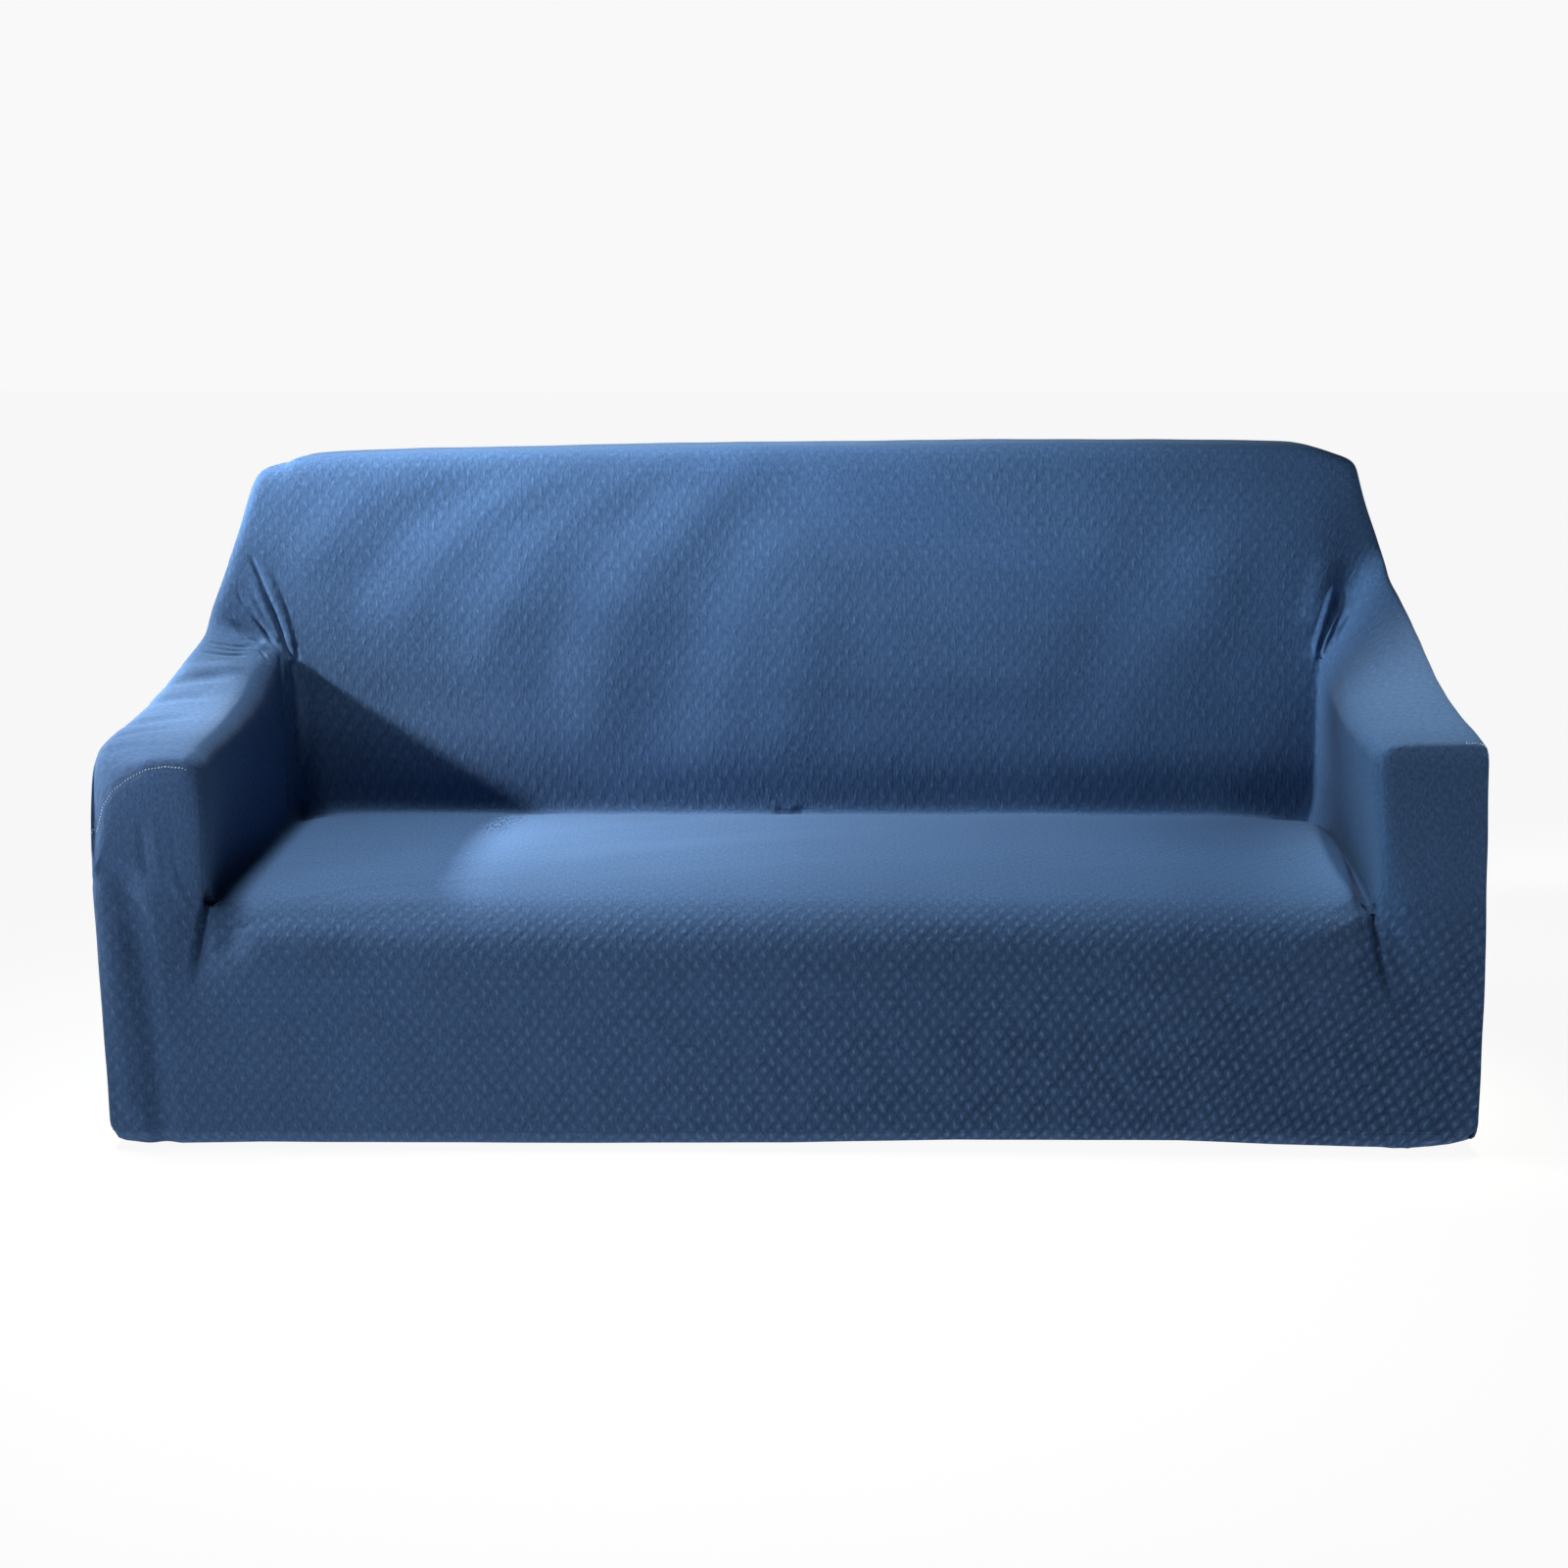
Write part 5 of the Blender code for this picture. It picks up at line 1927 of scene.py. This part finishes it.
@dataclass
class Studio:
    """Camera, lights and a plain pale floor."""

    origin: Vector
    camera_place: Point = (0.028, -3.100, 1.144)
    camera_pitch: float = 11.5
    camera_turn: float = 0.6
    focal_pixels: float = 2385.0
    image_pixels: float = 1601.0
    sensor: float = 36.0
    clip_end: float = 200.0
    floor_drop: float = 0.012
    floor_size: float = 60.0
    floor_glow: float = 0.93
    floor_tint: float = 0.05
    floor_roughness: float = 0.9
    backdrop: float = 0.945
    fill: float = 0.01
    lights: tuple[SoftBox, ...] = (
        SoftBox("key", KEY, (-1.0, 0.616, 1.063), KEY_SIZE, 4.9, (0.90, 0.97, 0.97), 16.0),
        SoftBox("key_right", KEY, (0.42, 0.723, 0.843), KEY_SIZE, 0.75, COOL, 8.8),
        SoftBox("inner_right", KEY, (0.82, 0.06, 0.45), KEY_SIZE, 0.20, (0.40, 0.92, 1.0), 9.0),
        SoftBox("low_key", KEY, (-0.76, 0.345, 0.42), KEY_SIZE, 5.4, (1.0, 0.96, 0.88), 17.0),
        SoftBox("overhead", (-1.60, 0.40, 4.60), (-0.24, -0.04, 0.40), (1.0, 1.0), 20.5,
                (0.96, 0.97, 0.92), 38.0),
        SoftBox("back_right", (1.70, -1.30, 2.10), (0.45, 0.66, 0.66), (0.2, 0.2), 0.25, COOL, 24.0),
        SoftBox("right_top", (0.95, 0.10, 2.40), (0.90, 0.10, 0.575), (0.12, 0.12), 0.42, WARM, 15.6),
        SoftBox("right_top_back", (0.97, 0.35, 2.40), (0.92, 0.35, 0.60), (0.12, 0.12), 0.34, WARM, 14.0),
        SoftBox("seat_right", (0.40, 0.30, 3.00), (0.50, 0.28, 0.355), (0.2, 0.2), 0.26,
                (0.96, 0.98, 1.0), 20.0),
        SoftBox("front_left", LOW_LEFT, (-0.35, 0.0, 0.22), (0.5, 0.2), 1.85, CLEAR, 44.0),
        SoftBox("facing_left", (-2.60, -1.90, 1.10), (-0.88, 0.0, 0.53), (0.3, 0.3), 0.075, CLEAR, 10.0),
    )

    def build(self) -> None:
        """Set up the camera, the floor, the lights and the surroundings."""
        lens = bpy.data.cameras.new("camera")
        lens.sensor_width = self.sensor
        lens.lens = self.focal_pixels / self.image_pixels * self.sensor
        lens.clip_end = self.clip_end
        camera = put("camera", lens)
        camera.location = Vector(self.camera_place) - self.origin
        tilt = math.pi / 2.0 - math.radians(self.camera_pitch)
        camera.rotation_euler = Euler((tilt, 0.0, math.radians(self.camera_turn)))
        bpy.context.scene.camera = camera
        self.floor()
        for light in self.lights:
            light.build(self.origin)
        self.surroundings()
        bpy.context.scene.view_settings.view_transform = "Standard"

    def floor(self) -> None:
        """Lay a plain pale floor just under the hem."""
        half = self.floor_size / 2.0
        level = -self.origin.z - self.floor_drop
        corners = [(x * half, y * half, level) for x, y in ((-1, -1), (1, -1), (1, 1), (-1, 1))]
        mesh = bpy.data.meshes.new("floor")
        mesh.from_pydata(corners, [], [(0, 1, 2, 3)])
        material, pen, shader = new_material("pale_floor")
        pen.feed(shader, {
            "Base Color": (self.floor_tint,) * 3,
            "Roughness": self.floor_roughness,
            "Emission Color": (1.0, 1.0, 1.0),
            "Emission Strength": self.floor_glow,
        })
        mesh.materials.append(material)
        put("floor", mesh)

    def surroundings(self) -> None:
        """Give a white backdrop and a dim even fill."""
        world = bpy.data.worlds.new("studio")
        world.use_nodes = True
        bpy.context.scene.world = world
        pen = NodePen(world.node_tree)
        seen = pen.add("ShaderNodeLightPath").out("Is Camera Ray")
        strength = seen * (self.backdrop - self.fill) + self.fill
        background = world.node_tree.nodes["Background"]
        pen.feed(background, {"Color": (1.0, 1.0, 1.0), "Strength": strength})


def main() -> None:
    """Build the slipcover on its frame, and the studio around it."""
    logging.basicConfig(level=logging.INFO, format="%(name)s: %(message)s")
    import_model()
    cover = Slipcover()
    pieces = cover.build()
    Studio(Vector(cover.form.cage.sizes.hang_point)).build()
    LOG.info("%d pieces", len(pieces))


if __name__ == "__main__":
    main()
